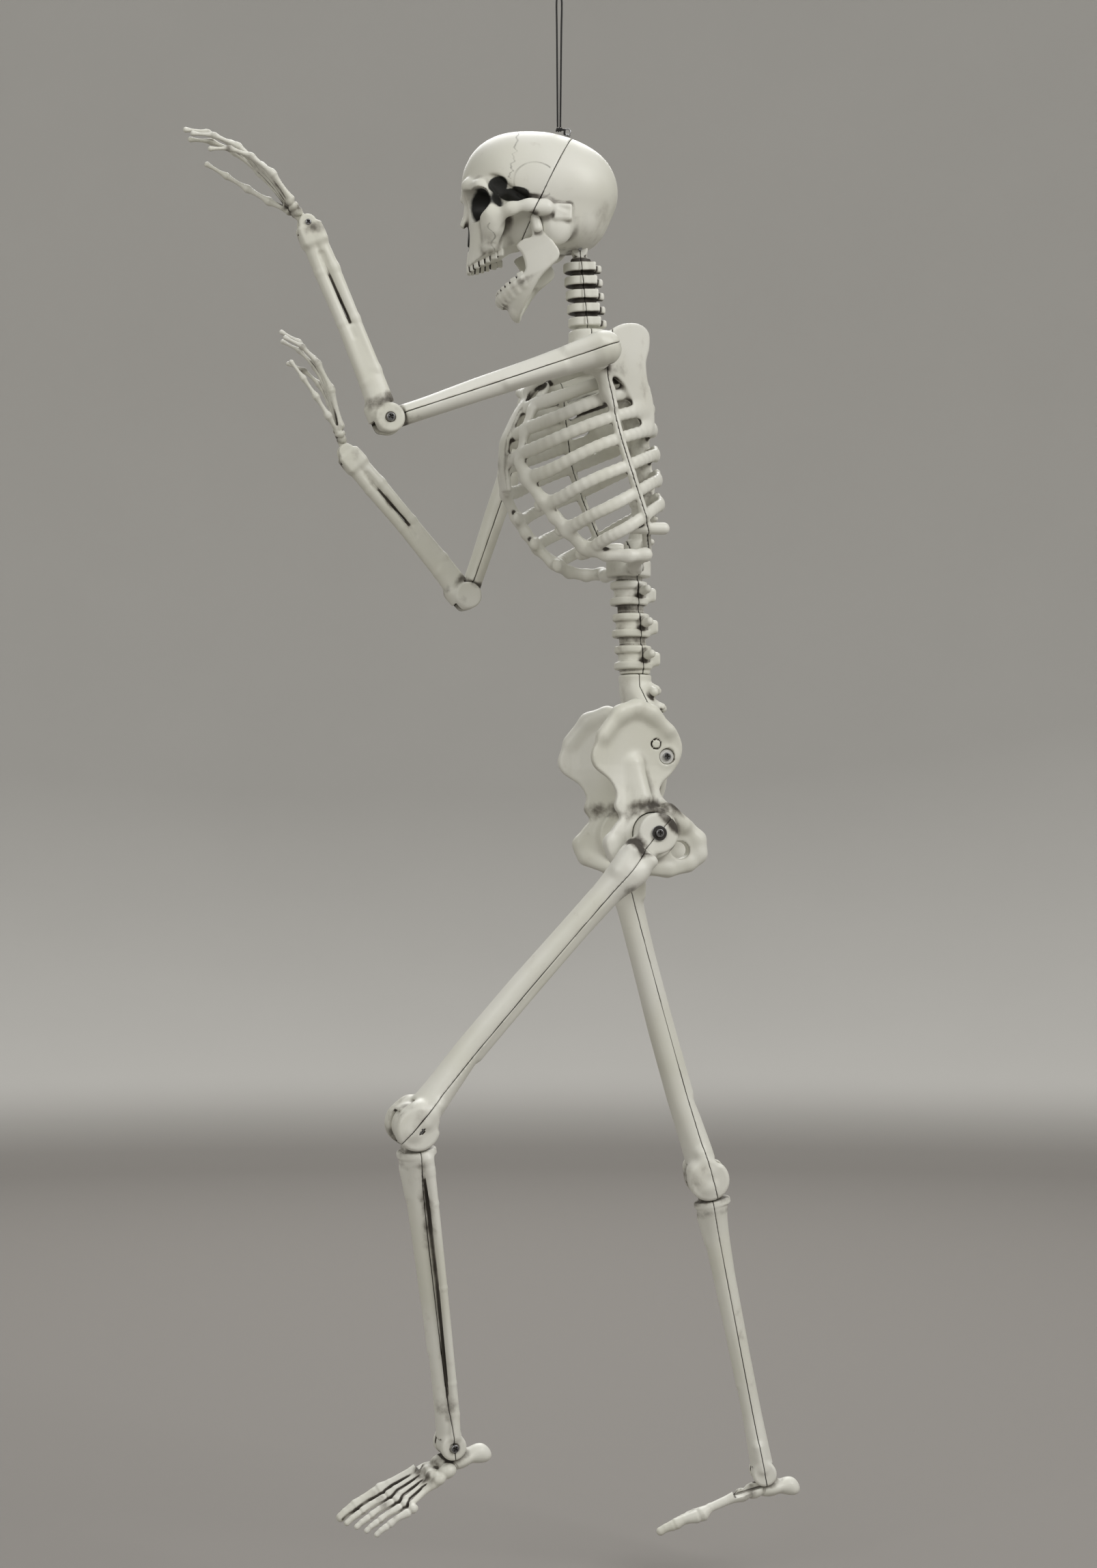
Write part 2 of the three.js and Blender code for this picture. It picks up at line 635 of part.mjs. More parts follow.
// ---- Lower spine --------------------------------------------------------------------------
const lumbar = at(0, chestRing.y, chestRing.z);
function makeLumbar() {
  const lean = waistSwivel.y - chestRing.y;
  const bottom = waistSwivel.z - chestRing.z + pivotClearance;
  const axisY = (z) => (z / bottom) * lean;
  const parts = [barZ(13, 4 + clearance, 12 - clearance, 0, 0)];
  parts.push(limb([[0, 0, -clearance, 17, 15.5], [0, lean, bottom + 2, 17, 15.5]], 8));
  parts.push(barZ(15, bottom, bottom + 6, 0, lean));
  const count = 3;
  const pitch = -bottom / count;
  for (let i = 0; i < count; i++) {
    const top = -6 - pitch * i;
    const low = top - pitch * 0.72;
    const y = axisY((top + low) / 2);
    parts.push(limb([
      [0, y, top, 21, 17],
      [0, y, (top + low) / 2, 22, 18.5],
      [0, y, low, 21, 17],
    ], 8));
    parts.push(limb([[0, y + 12, top - 8, 4, 7], [0, y + 30, top - 12, 3.5, 7]], 4));
    for (const s of [-1, 1])
      parts.push(limb([[s * 16, y + 8, top - 9, 6, 5], [s * 31, y + 12, top - 9, 4, 4]], 4));
  }
  parts.push(spigot(lean, bottom));
  const stem = barZ(9, -4, 9, 0, 0);
  const whole = join(cut(join(...parts), block(-60, 60, -60, 60, -clearance, 4)), stem);
  return halves(whole, [[6, 12], [6, -20], [lean + 5, bottom + 4], [lean, bottom - 4]]);
}
const [lumbarFront, lumbarRear] = makeLumbar();
lumbar.add(piece("lumbar_front", lumbarFront, bone));
lumbar.add(piece("lumbar_rear", lumbarRear, bone));
figure.add(lumbar);

// ---- Pelvis -------------------------------------------------------------------------------
// Built about the waist swivel.
const pelvis = at(0, waistSwivel.y, waistSwivel.z);
pelvis.name = "waist_turn";
const hipPivot = { y: 0.5, z: -172 };
// The hip bone's blade: x and y are where its inner face meets the sacrum.
const ilium = { slope: 0.28, x: hipSpan / 2 - 47, y: 22, thickness: 8 };
const sacrumScrew = { y: 21, z: -90 };
const sacrumSide = 38;
const cup = { inner: 22.5, outer: 27, floor: hipSpan / 2 - 38, rim: hipSpan / 2 - 20 };

function makeSacrum() {
  const body = limb([
    [0, 0, -pivotClearance, 20, 18],
    [0, 0, -8, 20, 18],
    [0, 2, -22, 27, 19],
    [0, 8, -44, 38, 19],
    [0, 16, -76, sacrumSide, 16],
    [0, 22, -100, 30, 13],
    [0, 25, -120, 16, 9],
    [0, 24, -134, 8, 6],
  ], 14);
  const lugs = [-1, 1].map((s) => sideBarX(s, 11, 20, sacrumSide + 3, sacrumScrew.y, sacrumScrew.z));
  const crests = [[-18, 24, 38], [-40, 32, 36]].map(([z, y]) =>
    limb([[0, y - 14, z + 2, 5, 8], [0, y + 4, z - 4, 4, 6]], 6));
  const whole = cut(
    join(body, ...lugs, ...crests),
    spigotRoom(0, 0),
    screwHole(-60, 60, sacrumScrew.y, sacrumScrew.z),
    ...[-1, 1].map((s) => sideBlock(s, sacrumSide + 3, 90, -60, 80, -200, 0)),
  );
  const { y, z } = sacrumScrew;
  return halves(whole, [[0, 0], [0, -14], [12, -50], [y, z + 10], [y + 3, z - 10], [24, -140]]);
}

function makeHipBone() {
  // outline of the blade and sit bone, seen from the side
  const outline = [
    [-17, -36], [3, -42], [22, -60], [34, -66], [38, -80], [35, -95], [26, -110], [16, -121], [12, -128],
    [27, -146], [44, -162], [60, -176], [63, -192], [54, -206], [20, -217], [-20, -211], [-44, -200],
    [-52, -180], [-40, -164], [-33, -156], [-40, -144], [-38, -130], [-46, -116], [-66, -102], [-66, -88],
    [-54, -68], [-36, -44],
  ];
  const bladeX = ilium.x + ilium.slope * ilium.y;
  const blade = moved(plate(outline, 0, ilium.thickness), slantX(-ilium.slope, bladeX));
  const socket = barX(cup.outer, cup.floor - 6, cup.rim, hipPivot.y, hipPivot.z, 16);
  const room = join(
    holeX(cup.inner, cup.floor, 140, hipPivot.y, hipPivot.z, 16),
    block(cup.floor + 10, 140, hipPivot.y - 23, hipPivot.y + 23, hipPivot.z - 80, hipPivot.z - 4),
  );
  const screwSeat = holeX(9, ilium.x + 4, 90, sacrumScrew.y, sacrumScrew.z);
  const inner = sacrumSide + 3 + clearance;
  return cut(
    join(blade, socket, barX(10, inner, ilium.x + 8, sacrumScrew.y, sacrumScrew.z)),
    room,
    screwSeat,
    screwHole(0, 90, sacrumScrew.y, sacrumScrew.z),
    screwHole(0, 90, hipPivot.y, hipPivot.z),
    barX(9, 0, 90, 36, -190, 14),
    block(0, inner, -90, 90, -260, 0),
  );
}

const [sacrumFront, sacrumRear] = makeSacrum();
pelvis.add(piece("sacrum_front", sacrumFront, bone));
pelvis.add(piece("sacrum_rear", sacrumRear, bone));
const washerX = ilium.x + 4 + clearance;
const pelvisWasher = () =>
  cut(
    barX(7.6, washerX, washerX + 2, sacrumScrew.y, sacrumScrew.z),
    screwHole(washerX - 4, washerX + 9, sacrumScrew.y, sacrumScrew.z),
  );

// ---- Legs ---------------------------------------------------------------------------------
const hipHead = { radius: 21.5, inner: cup.floor + pivotClearance - hipSpan / 2, outer: 4 };
const knee = { radius: 23, slot: 9.5, outer: 25, tongue: 20, back: 14.5 };
const ankle = { radius: 13.5, slot: 9.5, outer: 17, tongue: 12.5 };

// Turns a solid by toe-out and moves it to the knee.
const kneeMatrix = new THREE.Matrix4().makeRotationZ(rad(toeOut)).setPosition(kneeSplay, 0, -femurLength);
const toKnee = (body) => moved(body, kneeMatrix);

function makeFemur() {
  const drop = -femurLength;
  const shaft = limb([
    [3, 0, -20, 13, 19],
    [9, 1, -42, 20, 23],
    [9, 0, -60, 19, 20],
    [8, -2, -78, 15, 15.5],
    [8, -6, drop * 0.35, 13.5, 14],
    [9, -8, drop * 0.55, 13, 14],
    [10, -6, drop * 0.78, 14, 14.5],
    [11.5, -2, drop + 46, 20, 16],
    [kneeSplay, 0, drop + 18, 25, 19],
  ], 8);
  const marrow = limb([
    [8, -2, -78, 9, 9],
    [8, -6, drop * 0.35, 10.5, 11],
    [9, -8, drop * 0.55, 10.5, 11],
    [10, -6, drop * 0.78, 11, 11],
    [11, -3, drop + 60, 11, 10],
  ], 5);
  const top = barX(hipHead.radius, hipHead.inner, hipHead.outer, 0, 0, 14);
  const condyles = toKnee(barX(knee.radius, -knee.outer, knee.outer, 0, 0, 14));
  const kneeRoom = toKnee(
    join(
      block(-knee.slot, knee.slot, -40, 40, -40, 2),
      holeX(knee.tongue + 1, -knee.slot, knee.slot, 0, 0, 14),
      // room behind the bone, where the shin comes up when the knee is bent
      block(-knee.slot, knee.slot, 6, 60, 0, 26),
      block(-40, 40, knee.back, 60, 13, 70),
    ),
  );
  const whole = cut(
    join(top, shaft, condyles),
    marrow,
    kneeRoom,
    screwHole(-60, 20),
    toKnee(screwHole(-40, 40)),
  );
  return halves(whole, [[0, 30], [0, drop - 30]]);
}

function makeShin() {
  const drop = -shinLength;
  const slotHalf = knee.slot - pivotClearance;
  const tibia = limb([
    [0, 0, -knee.radius - 2, 22, 18],
    [0, 0, -knee.radius - 14, 20, 18.5],
    [0, 0, -64, 13.5, 15],
    [-1, 0, -110, 11.5, 13],
    [-1, 0, drop * 0.62, 10, 11.5],
    [0, 0, drop + 60, 11, 11.5],
    [0, 0, drop + 22, 16, 12.5],
    [0, 0, drop + 4, 17, 13],
  ], 8);
  const marrow = limb([
    [0, 0, -50, 9, 10],
    [-1, 0, -110, 8.4, 9.6],
    [-1, 0, drop * 0.62, 7.2, 8.6],
    [0, 0, drop + 44, 8, 8.4],
  ], 5);
  const fibula = limb([
    [16, 9, -44, 5, 5],
    [18, 9, -80, 4, 4],
    [18, 8, drop * 0.6, 3.5, 4],
    [14, 6, drop + 40, 4, 4.5],
  ], 5);
  const tongue = join(
    barX(knee.tongue, -slotHalf, slotHalf, 0, 0, 14),
    block(-slotHalf, slotHalf, -13, 13, -knee.radius - 8, 0),
  );
  const ankleFork = barX(ankle.radius, -ankle.outer, ankle.outer, 0, drop, 12);
  const ankleRoom = join(
    block(-ankle.slot, ankle.slot, -40, 40, drop - 30, drop + 7),
    holeX(ankle.tongue + 1, -ankle.slot, ankle.slot, 0, drop, 12),
  );
  const whole = cut(
    join(tibia, fibula, tongue, ankleFork),
    marrow,
    ankleRoom,
    screwHole(-40, 40),
    screwHole(-40, 40, 0, drop),
  );
  return halves(whole, [[0, 30], [0, drop - 30]]);
}

function makeFoot() {
  const slotHalf = ankle.slot - pivotClearance;
  const heel = 25;
  const parts = [
    barX(ankle.tongue, -slotHalf, slotHalf, 0, 0, 12),
    limb([[0, 2, -2, slotHalf, 11], [0, 4, -20, 14, 17]], 8),
    limb([
      [0, heel, -22, 9, 9],
      [0, 12, -23, 14, 13],
      [0, -12, -22, 17, 11],
      [-1, -38, -20, 22, 9],
    ], 8),
  ];
  // five rays, from the big toe (inner side) to the little toe
  for (let i = 0; i < 5; i++) {
    const share = i / 4;
    const length = footLength - heel - 9 - share * 24 - (i === 0 ? 4 : 0);
    const x0 = -15 + 28 * share;
    const x1 = -26 + 56 * share;
    const size = i === 0 ? 6.2 : 4.6 - share * 0.4;
    const arch = -14 - share * 12;
    parts.push(limb([
      [x0, -30, arch, size, size],
      [x1 * 0.95, -84 + share * 14, arch - 6, size * 1.1, size * 1.1],
      [x1, -length + 14, arch - 8, size, size * 0.8],
      [x1 * 0.98, -length, arch - 12, size * 0.6, size * 0.5],
    ], 5));
  }
  return cut(
    join(...parts),
    screwHole(-30, 30),
    ...[-1, 1].map((s) => sideBlock(s, slotHalf, 40, -40, 40, -ankle.radius - 1, 20)),
  );
}

function makeLeg(label, angles) {
  const hip = at(hipSpan / 2, hipPivot.y, hipPivot.z);
  hip.name = `${label}_hip`;
  hip.rotation.x = rad(-angles.thigh);
  const [femurFront, femurRear] = makeFemur();
  hip.add(piece(`${label}_femur_front`, femurFront, bone));
  hip.add(piece(`${label}_femur_rear`, femurRear, bone));
  const kneeFrame = at(kneeSplay, 0, -femurLength);
  kneeFrame.rotation.z = rad(toeOut);
  kneeFrame.add(piece(`${label}_knee_screw`, screwX(-knee.outer + 2, knee.outer + clearance), steel));
  hip.add(kneeFrame);
  const kneeJoint = at(0, 0, 0);
  kneeJoint.name = `${label}_knee`;
  kneeJoint.rotation.x = rad(angles.knee);
  kneeFrame.add(kneeJoint);
  const [shinFront, shinRear] = makeShin();
  kneeJoint.add(piece(`${label}_shin_front`, shinFront, bone));
  kneeJoint.add(piece(`${label}_shin_rear`, shinRear, bone));
  const ankleJoint = at(0, 0, -shinLength);
  ankleJoint.name = `${label}_ankle`;
  const ankleScrew = piece(`${label}_ankle_screw`, screwX(-ankle.outer + 2, ankle.outer + clearance), steel);
  ankleScrew.position.z = -shinLength;
  kneeJoint.add(ankleScrew);
  ankleJoint.rotation.x = rad(angles.ankle);
  ankleJoint.add(piece(`${label}_foot`, makeFoot(), bone));
  kneeJoint.add(ankleJoint);
  return hip;
}

// ---- Arms ---------------------------------------------------------------------------------
const armHead = 18;
const tongueHalf = 5; // half thickness of the shoulder's tongue
const elbow = { radius: 15, tongue: 13, slot: 8.5, outer: 14 };
const wrist = { tongue: 6.5, slot: 4.2, outer: 9, pin: 1.5 };

function makeKnuckle() {
  const inner = shoulder.inner + 4 + pivotClearance - shoulderSpan / 2;
  const flange = shoulder.outer + pivotClearance - shoulderSpan / 2;
  return cut(
    join(
      barX(shoulder.disc, inner, inner + 7, 0, 0),
      barX(shoulder.neck, inner, flange + 1, 0, 0),
      barX(13, flange, flange + 4, 0, 0),
      block(flange + 2, -4, -tongueHalf, tongueHalf, -4.5, 4.5),
      barY(11, -tongueHalf, tongueHalf, 0, 0, 12),
    ),
    holeY(screwRadius + clearance, -10, 10, 0, 0, 8),
  );
}

function makeHumerus() {
  const drop = -upperArmLength;
  const slotHalf = tongueHalf + pivotClearance;
  const shaft = limb([
    [0, 0, -6, 15, 17],
    [0, 0, -34, 14, 15.5],
    [0, 0, -80, 12, 13.5],
    [0, 0, drop * 0.6, 11.5, 12.5],
    [0, 1, drop + 36, 14, 11],
    [0, 2, drop + 16, 14, 10.5],
    [0, 2, drop + 8, 12, 10],
  ], 8);
  const marrow = limb([
    [0, 0, -40, 9, 10],
    [0, 0, -80, 8.6, 10],
    [0, 0, drop * 0.6, 8.4, 9.4],
    [0, 0, drop + 46, 8.6, 8],
  ], 5);
  const slot = join(
    holeY(11.8, -slotHalf, slotHalf, 0, 0, 12),
    block(-30, 6, -slotHalf, slotHalf, 0, 30),
    block(-30, 0, -slotHalf, slotHalf, -8, 2),
  );
  const elbowTongue = elbow.slot - pivotClearance;
  const trimmed = [-1, 1].map((s) =>
    sideBlock(s, elbowTongue, 40, -30, 30, drop - 30, drop + elbow.radius + 1.5));
  const whole = cut(
    join(
      ball(0, 0, 0, armHead - 0.5, armHead, armHead, 10),
      shaft,
      barX(elbow.tongue, -elbowTongue, elbowTongue, 0, drop),
    ),
    marrow,
    slot,
    ...trimmed,
    holeY(screwRadius + clearance, -30, 30, 0, 0, 8),
    holeY(screwHead.radius + clearance, 13, 30, 0, 0),
    screwHole(-20, 20, 0, drop),
  );
  return halves(whole, [[0, 30], [0, drop - 30]]);
}

function makeForearm() {
  const drop = -forearmLength;
  const radiusBone = limb([
    [0, -5, -22, 8, 6],
    [0, -7, -50, 6, 6],
    [0, -8, drop * 0.5, 5.5, 5.5],
    [0, -6, drop + 50, 8, 8],
    [0, -1, drop + 4, 9, 13],
  ], 7);
  const ulna = limb([
    [0, 8, -12, 9, 8],
    [0, 7, -40, 7, 7],
    [0, 5, drop * 0.5, 6, 6],
    [0, 5, drop + 50, 8, 8],
    [0, 2, drop + 4, 9, 12],
  ], 7);
  const bridge = limb([[0, 4, -13, 13, 9], [0, 2, -36, 10, 10]], 7);
  const fork = barX(elbow.radius, -elbow.outer, elbow.outer, 0, 0, 12);
  const room = join(
    block(-elbow.slot, elbow.slot, -40, 6, -elbow.tongue - 1.5, 40),
    holeX(elbow.tongue + 1, -elbow.slot, elbow.slot, 0, 0, 12),
    block(-elbow.slot, elbow.slot, -40, 40, -2, 40),
  );
  const wristRoom = block(-wrist.slot, wrist.slot, -30, 30, drop - 20, drop + wrist.tongue + 1.5);
  const wristFork = barX(9, -wrist.outer, wrist.outer, 0, drop, 12);
  return cut(
    join(radiusBone, ulna, bridge, fork, wristFork),
    room,
    wristRoom,
    screwHole(-30, 30),
    screwHole(-30, 30, 0, drop, wrist.pin),
  );
}

function makeHand() {
  const slotHalf = wrist.slot - pivotClearance;
  const parts = [
    barX(wrist.tongue, -slotHalf, slotHalf, 0, 0, 12),
    limb([
      [0, 0, -3, slotHalf, 5],
      [0, 0, -11, slotHalf, 5.5],
      [0, -1, -17, 11, 6],
      [0, -2, -30, 17, 6],
    ], 8),
  ];
  // four fingers, from the index (inner side) to the little finger, curling toward the palm
  for (let i = 0; i < 4; i++) {
    const share = i / 3;
    const reachZ = handLength * (1 - 0.06 * Math.abs(i - 1) - (i === 3 ? 0.1 : 0));
    const x0 = -10.5 + 21 * share;
    const x1 = -17 + 34 * share;
    const size = 3.6 - 0.3 * share;
    parts.push(limb([
      [x0, -2, -25, size, size],
      [x1, -3, -reachZ * 0.5, size * 1.1, size * 1.1],
      [x1, 3, -reachZ * 0.72, size, size],
      [x1, 28, -reachZ * 0.98, size * 0.55, size * 0.5],
    ], 5));
  }
  parts.push(limb([
    [-7, 2, -20, 4.5, 4.5],
    [-17, 9, -42, 3.2, 3.2],
    [-21, 16, -66, 3.8, 3.8],
    [-22, 29, -112, 1.8, 1.8],
  ], 5));
  return cut(join(...parts), screwHole(-20, 20, 0, 0, wrist.pin));
}

function makeArm(label, angles) {
  const swing = at(shoulderSpan / 2, shoulder.y, shoulder.z);
  swing.name = `${label}_shoulder_swing`;
  swing.rotation.x = rad(-angles.arm);
  swing.add(piece(`${label}_shoulder_knuckle`, makeKnuckle(), whitePlastic));
  const lift = at(0, 0, 0);
  lift.name = `${label}_shoulder_lift`;
  swing.add(lift);
  const [humerusFront, humerusRear] = makeHumerus();
  lift.add(piece(`${label}_humerus_front`, humerusFront, bone));
  lift.add(piece(`${label}_humerus_rear`, humerusRear, bone));
  lift.add(piece(`${label}_shoulder_screw`, screwY(-14, 13 + clearance, 0, 0), steel));
  const elbowScrew = piece(`${label}_elbow_screw`, screwX(-elbow.outer + 1, elbow.outer + clearance), steel);
  elbowScrew.position.z = -upperArmLength;
  const elbowJoint = at(0, 0, -upperArmLength);
  elbowJoint.name = `${label}_elbow`;
  elbowJoint.rotation.x = rad(-angles.elbow);
  elbowJoint.add(piece(`${label}_forearm`, makeForearm(), bone));
  const wristPin = screwX(-wrist.outer + 1, wrist.outer + clearance, 0, 0, wrist.pin, 3);
  const wristScrew = piece(`${label}_wrist_screw`, wristPin, steel);
  wristScrew.position.z = -forearmLength;
  elbowJoint.add(wristScrew);
  const wristJoint = at(0, 0, -forearmLength);
  wristJoint.name = `${label}_wrist`;
  wristJoint.rotation.x = rad(angles.wrist);
  wristJoint.add(piece(`${label}_hand`, makeHand(), bone));
  elbowJoint.add(wristJoint);
  lift.add(elbowScrew, elbowJoint);
  return swing;
}

// The right side mirrors the left.
for (const label of ["left", "right"]) {
  const sides = { trunk: new THREE.Group(), hips: new THREE.Group() };
  if (label === "right") for (const group of Object.values(sides)) group.scale.x = -1;
  sides.trunk.add(makeArm(label, pose[label]));
  chest.add(sides.trunk);
  sides.hips.add(piece(`hip_bone_${label}`, makeHipBone(), bone));
  sides.hips.add(piece(`pelvis_washer_${label}`, pelvisWasher(), whitePlastic));
  sides.hips.add(piece(
    `pelvis_screw_${label}`,
    screwX(24, washerX + 2 + clearance, sacrumScrew.y, sacrumScrew.z),
    steel,
  ));
  const washerAt = hipSpan / 2 + hipHead.outer + clearance;
  const hipWasher = cut(
    barX(8, washerAt, washerAt + 1.5, hipPivot.y, hipPivot.z),
    screwHole(washerAt - 4, washerAt + 9, hipPivot.y, hipPivot.z),
  );
  sides.hips.add(piece(`${label}_hip_washer`, hipWasher, steel));
  sides.hips.add(piece(
    `${label}_hip_screw`,
    screwX(cup.floor - 5, washerAt + 1.5 + clearance, hipPivot.y, hipPivot.z),
    steel,
  ));
  sides.hips.add(makeLeg(label, pose[label]));
  pelvis.add(sides.hips);
}
figure.add(pelvis);

export default figure;
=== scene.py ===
# %% [markdown]
# A hanging, posable skeleton figure, about one and a half metres tall: hollow bones moulded in
# ivory plastic, closed along parting lines, pinned together with cross-head screws and hung from
# a loop of black elastic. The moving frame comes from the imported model. This file makes the
# surfaces that are seen around it.

# %% Loading the fixed frame
import json
import math

import bpy
import numpy as np
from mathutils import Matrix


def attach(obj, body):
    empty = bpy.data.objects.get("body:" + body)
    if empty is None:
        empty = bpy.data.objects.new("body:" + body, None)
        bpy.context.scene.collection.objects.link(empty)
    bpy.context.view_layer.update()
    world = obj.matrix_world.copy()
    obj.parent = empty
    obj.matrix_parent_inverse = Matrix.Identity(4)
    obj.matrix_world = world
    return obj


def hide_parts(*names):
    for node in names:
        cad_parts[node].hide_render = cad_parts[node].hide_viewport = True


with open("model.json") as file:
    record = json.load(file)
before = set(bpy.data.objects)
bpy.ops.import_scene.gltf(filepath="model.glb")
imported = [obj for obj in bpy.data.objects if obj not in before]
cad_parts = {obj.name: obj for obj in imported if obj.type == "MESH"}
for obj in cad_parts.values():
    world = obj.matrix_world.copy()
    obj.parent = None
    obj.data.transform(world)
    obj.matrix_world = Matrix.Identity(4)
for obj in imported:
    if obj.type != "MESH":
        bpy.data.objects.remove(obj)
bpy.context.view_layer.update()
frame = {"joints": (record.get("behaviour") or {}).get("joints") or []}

import openvdb
from mathutils import Matrix, Vector

MM = 0.001  # the bones are worked out in millimetres
joints = {joint["name"]: joint for joint in frame["joints"]}

# %% [markdown]
# Places come from the joints. Each bone is drawn in its own small frame: x to the outer side,
# y to the back, z up the bone, with the upper joint at zero. The right side is the left side's
# mirror image, so one drawing serves both.

# %% Joint places and bone frames
SIDES = {"left": 1, "right": -1}


def pivot(name):
    return Vector(joints[name]["pos_m"]) / MM


def hinge_axis(name):
    return Vector(joints[name]["axis"])


def low_limit(name):
    return joints[name]["range_deg"][0]


def standing(origin, outward, up, side=1):
    """A frame with x along outward and z as near to up as it can be."""
    z = (up - up.dot(outward) * outward).normalized()
    y = z.cross(outward) * side
    place = Matrix((outward, y, z)).transposed().to_4x4()
    place.translation = origin
    return place


def turned(place, degrees):
    return place @ Matrix.Rotation(math.radians(degrees), 4, "X")


UP = Vector((0, 0, 1))
ACROSS = Vector((1, 0, 0))
places = {
    "head": standing(pivot("head_nod"), hinge_axis("head_nod"), UP),
    "chest": standing(pivot("neck_turn"), ACROSS, UP),
    "pelvis": standing(pivot("waist_turn"), ACROSS, UP),
}
# The low limit of each of these joints, in degrees from straight. The frame counts its limits from
# the rest pose instead, so the difference is how far the joint is turned at rest.
JAW_SHUT = 1
TOES_UP = -15
WRIST_BACK = -35
jaw_open = JAW_SHUT - low_limit("jaw_hinge")
jaw_place = standing(pivot("jaw_hinge"), hinge_axis("jaw_hinge"), UP)
places["jaw"] = turned(jaw_place, jaw_open)
for label, side in SIDES.items():
    out = ACROSS * side
    hip, knee, ankle = (pivot(f"{label}_{part}") for part in ("hip", "knee", "ankle"))
    shoulder, elbow, wrist = (
        pivot(f"{label}_{part}") for part in ("shoulder_lift", "elbow", "wrist")
    )
    knee_out = hinge_axis(f"{label}_knee") * side
    shin = standing(knee, knee_out, knee - ankle, side)
    forearm = standing(elbow, out, elbow - wrist, side)
    foot = shin.copy()
    foot.translation = ankle
    hand = forearm.copy()
    hand.translation = wrist
    places[f"{label}_thigh"] = standing(hip, out, hip - knee, side)
    places[f"{label}_condyles"] = standing(knee, knee_out, hip - knee, side)
    places[f"{label}_shin"] = shin
    places[f"{label}_foot"] = turned(foot, TOES_UP - low_limit(f"{label}_ankle"))
    places[f"{label}_upper_arm"] = standing(shoulder, out, shoulder - elbow, side)
    places[f"{label}_forearm"] = forearm
    places[f"{label}_hand"] = turned(hand, WRIST_BACK - low_limit(f"{label}_wrist"))
thigh_length = (pivot("left_hip") - pivot("left_knee")).length
shin_length = (pivot("left_knee") - pivot("left_ankle")).length
upper_arm_length = (pivot("left_shoulder_lift") - pivot("left_elbow")).length
forearm_length = (pivot("left_elbow") - pivot("left_wrist")).length
print("thigh", round(thigh_length), "shin", round(shin_length), "upper arm", round(upper_arm_length))

# %% [markdown]
# The camera stands almost at the figure's left side, three metres away and a little below its
# middle, so the far limbs sink slightly behind the near ones.

# %% Camera
AZIMUTH, TILT, DISTANCE = 77.05, -1.98, 2.9521
LENS = 63.392  # millimetres, on a sensor 36 millimetres high
VIEW_CENTRE = Vector((0, 0, -0.85))
VIEW_SHIFT_RIGHT, VIEW_SHIFT_UP = -0.01155, 0.00177
SENSOR = 36.0


def view_axes(azimuth, tilt):
    a, e = math.radians(azimuth), math.radians(tilt)
    ahead = Vector((-math.sin(a) * math.cos(e), math.cos(a) * math.cos(e), -math.sin(e)))
    right = Vector((math.cos(a), math.sin(a), 0))
    return right, right.cross(ahead), ahead


right, above, ahead = view_axes(AZIMUTH, TILT)
camera = bpy.data.objects.new("camera", bpy.data.cameras.new("camera"))
camera.data.sensor_fit = "VERTICAL"
camera.data.sensor_height = SENSOR
camera.data.lens = LENS
camera.location = VIEW_CENTRE + right * VIEW_SHIFT_RIGHT + above * VIEW_SHIFT_UP - ahead * DISTANCE
camera.rotation_euler = Matrix((right, above, -ahead)).transposed().to_euler()
bpy.context.scene.collection.objects.link(camera)
bpy.context.scene.camera = camera
print("camera at", [round(v, 3) for v in camera.location])

# %% [markdown]
# Wires of a node tree, with arithmetic: a socket is wrapped so that an expression on it adds the
# Math nodes. That keeps a material readable as a formula.

# %% Shader maths
class Wire:
    """A node's output socket, with the arithmetic of Math nodes."""

    def __init__(self, tree, socket):
        self.tree = tree
        self.socket = socket

    def maths(self, operation, *others):
        node = self.tree.nodes.new("ShaderNodeMath")
        node.operation = operation
        for place, value in enumerate(others):
            feed(self.tree, value, node.inputs[place])
        return Wire(self.tree, node.outputs[0])

    def __add__(self, other):
        return self.maths("ADD", self, other)

    def __sub__(self, other):
        return self.maths("SUBTRACT", self, other)

    def __rsub__(self, other):
        return self.maths("SUBTRACT", other, self)

    def __mul__(self, other):
        return self.maths("MULTIPLY", self, other)

    def most(self, other):
        return self.maths("MAXIMUM", self, other)

    def rise(self, low, high):
        """0 below low, 1 above high, and a smooth step between."""
        node = self.tree.nodes.new("ShaderNodeMapRange")
        node.interpolation_type = "SMOOTHSTEP"
        feed(self.tree, self, node.inputs["Value"])
        node.inputs["From Min"].default_value = low
        node.inputs["From Max"].default_value = high
        return Wire(self.tree, node.outputs["Result"])

    __radd__ = __add__
    __rmul__ = __mul__


def feed(tree, value, socket):
    if isinstance(value, Wire):
        tree.links.new(value.socket, socket)
    else:
        socket.default_value = value


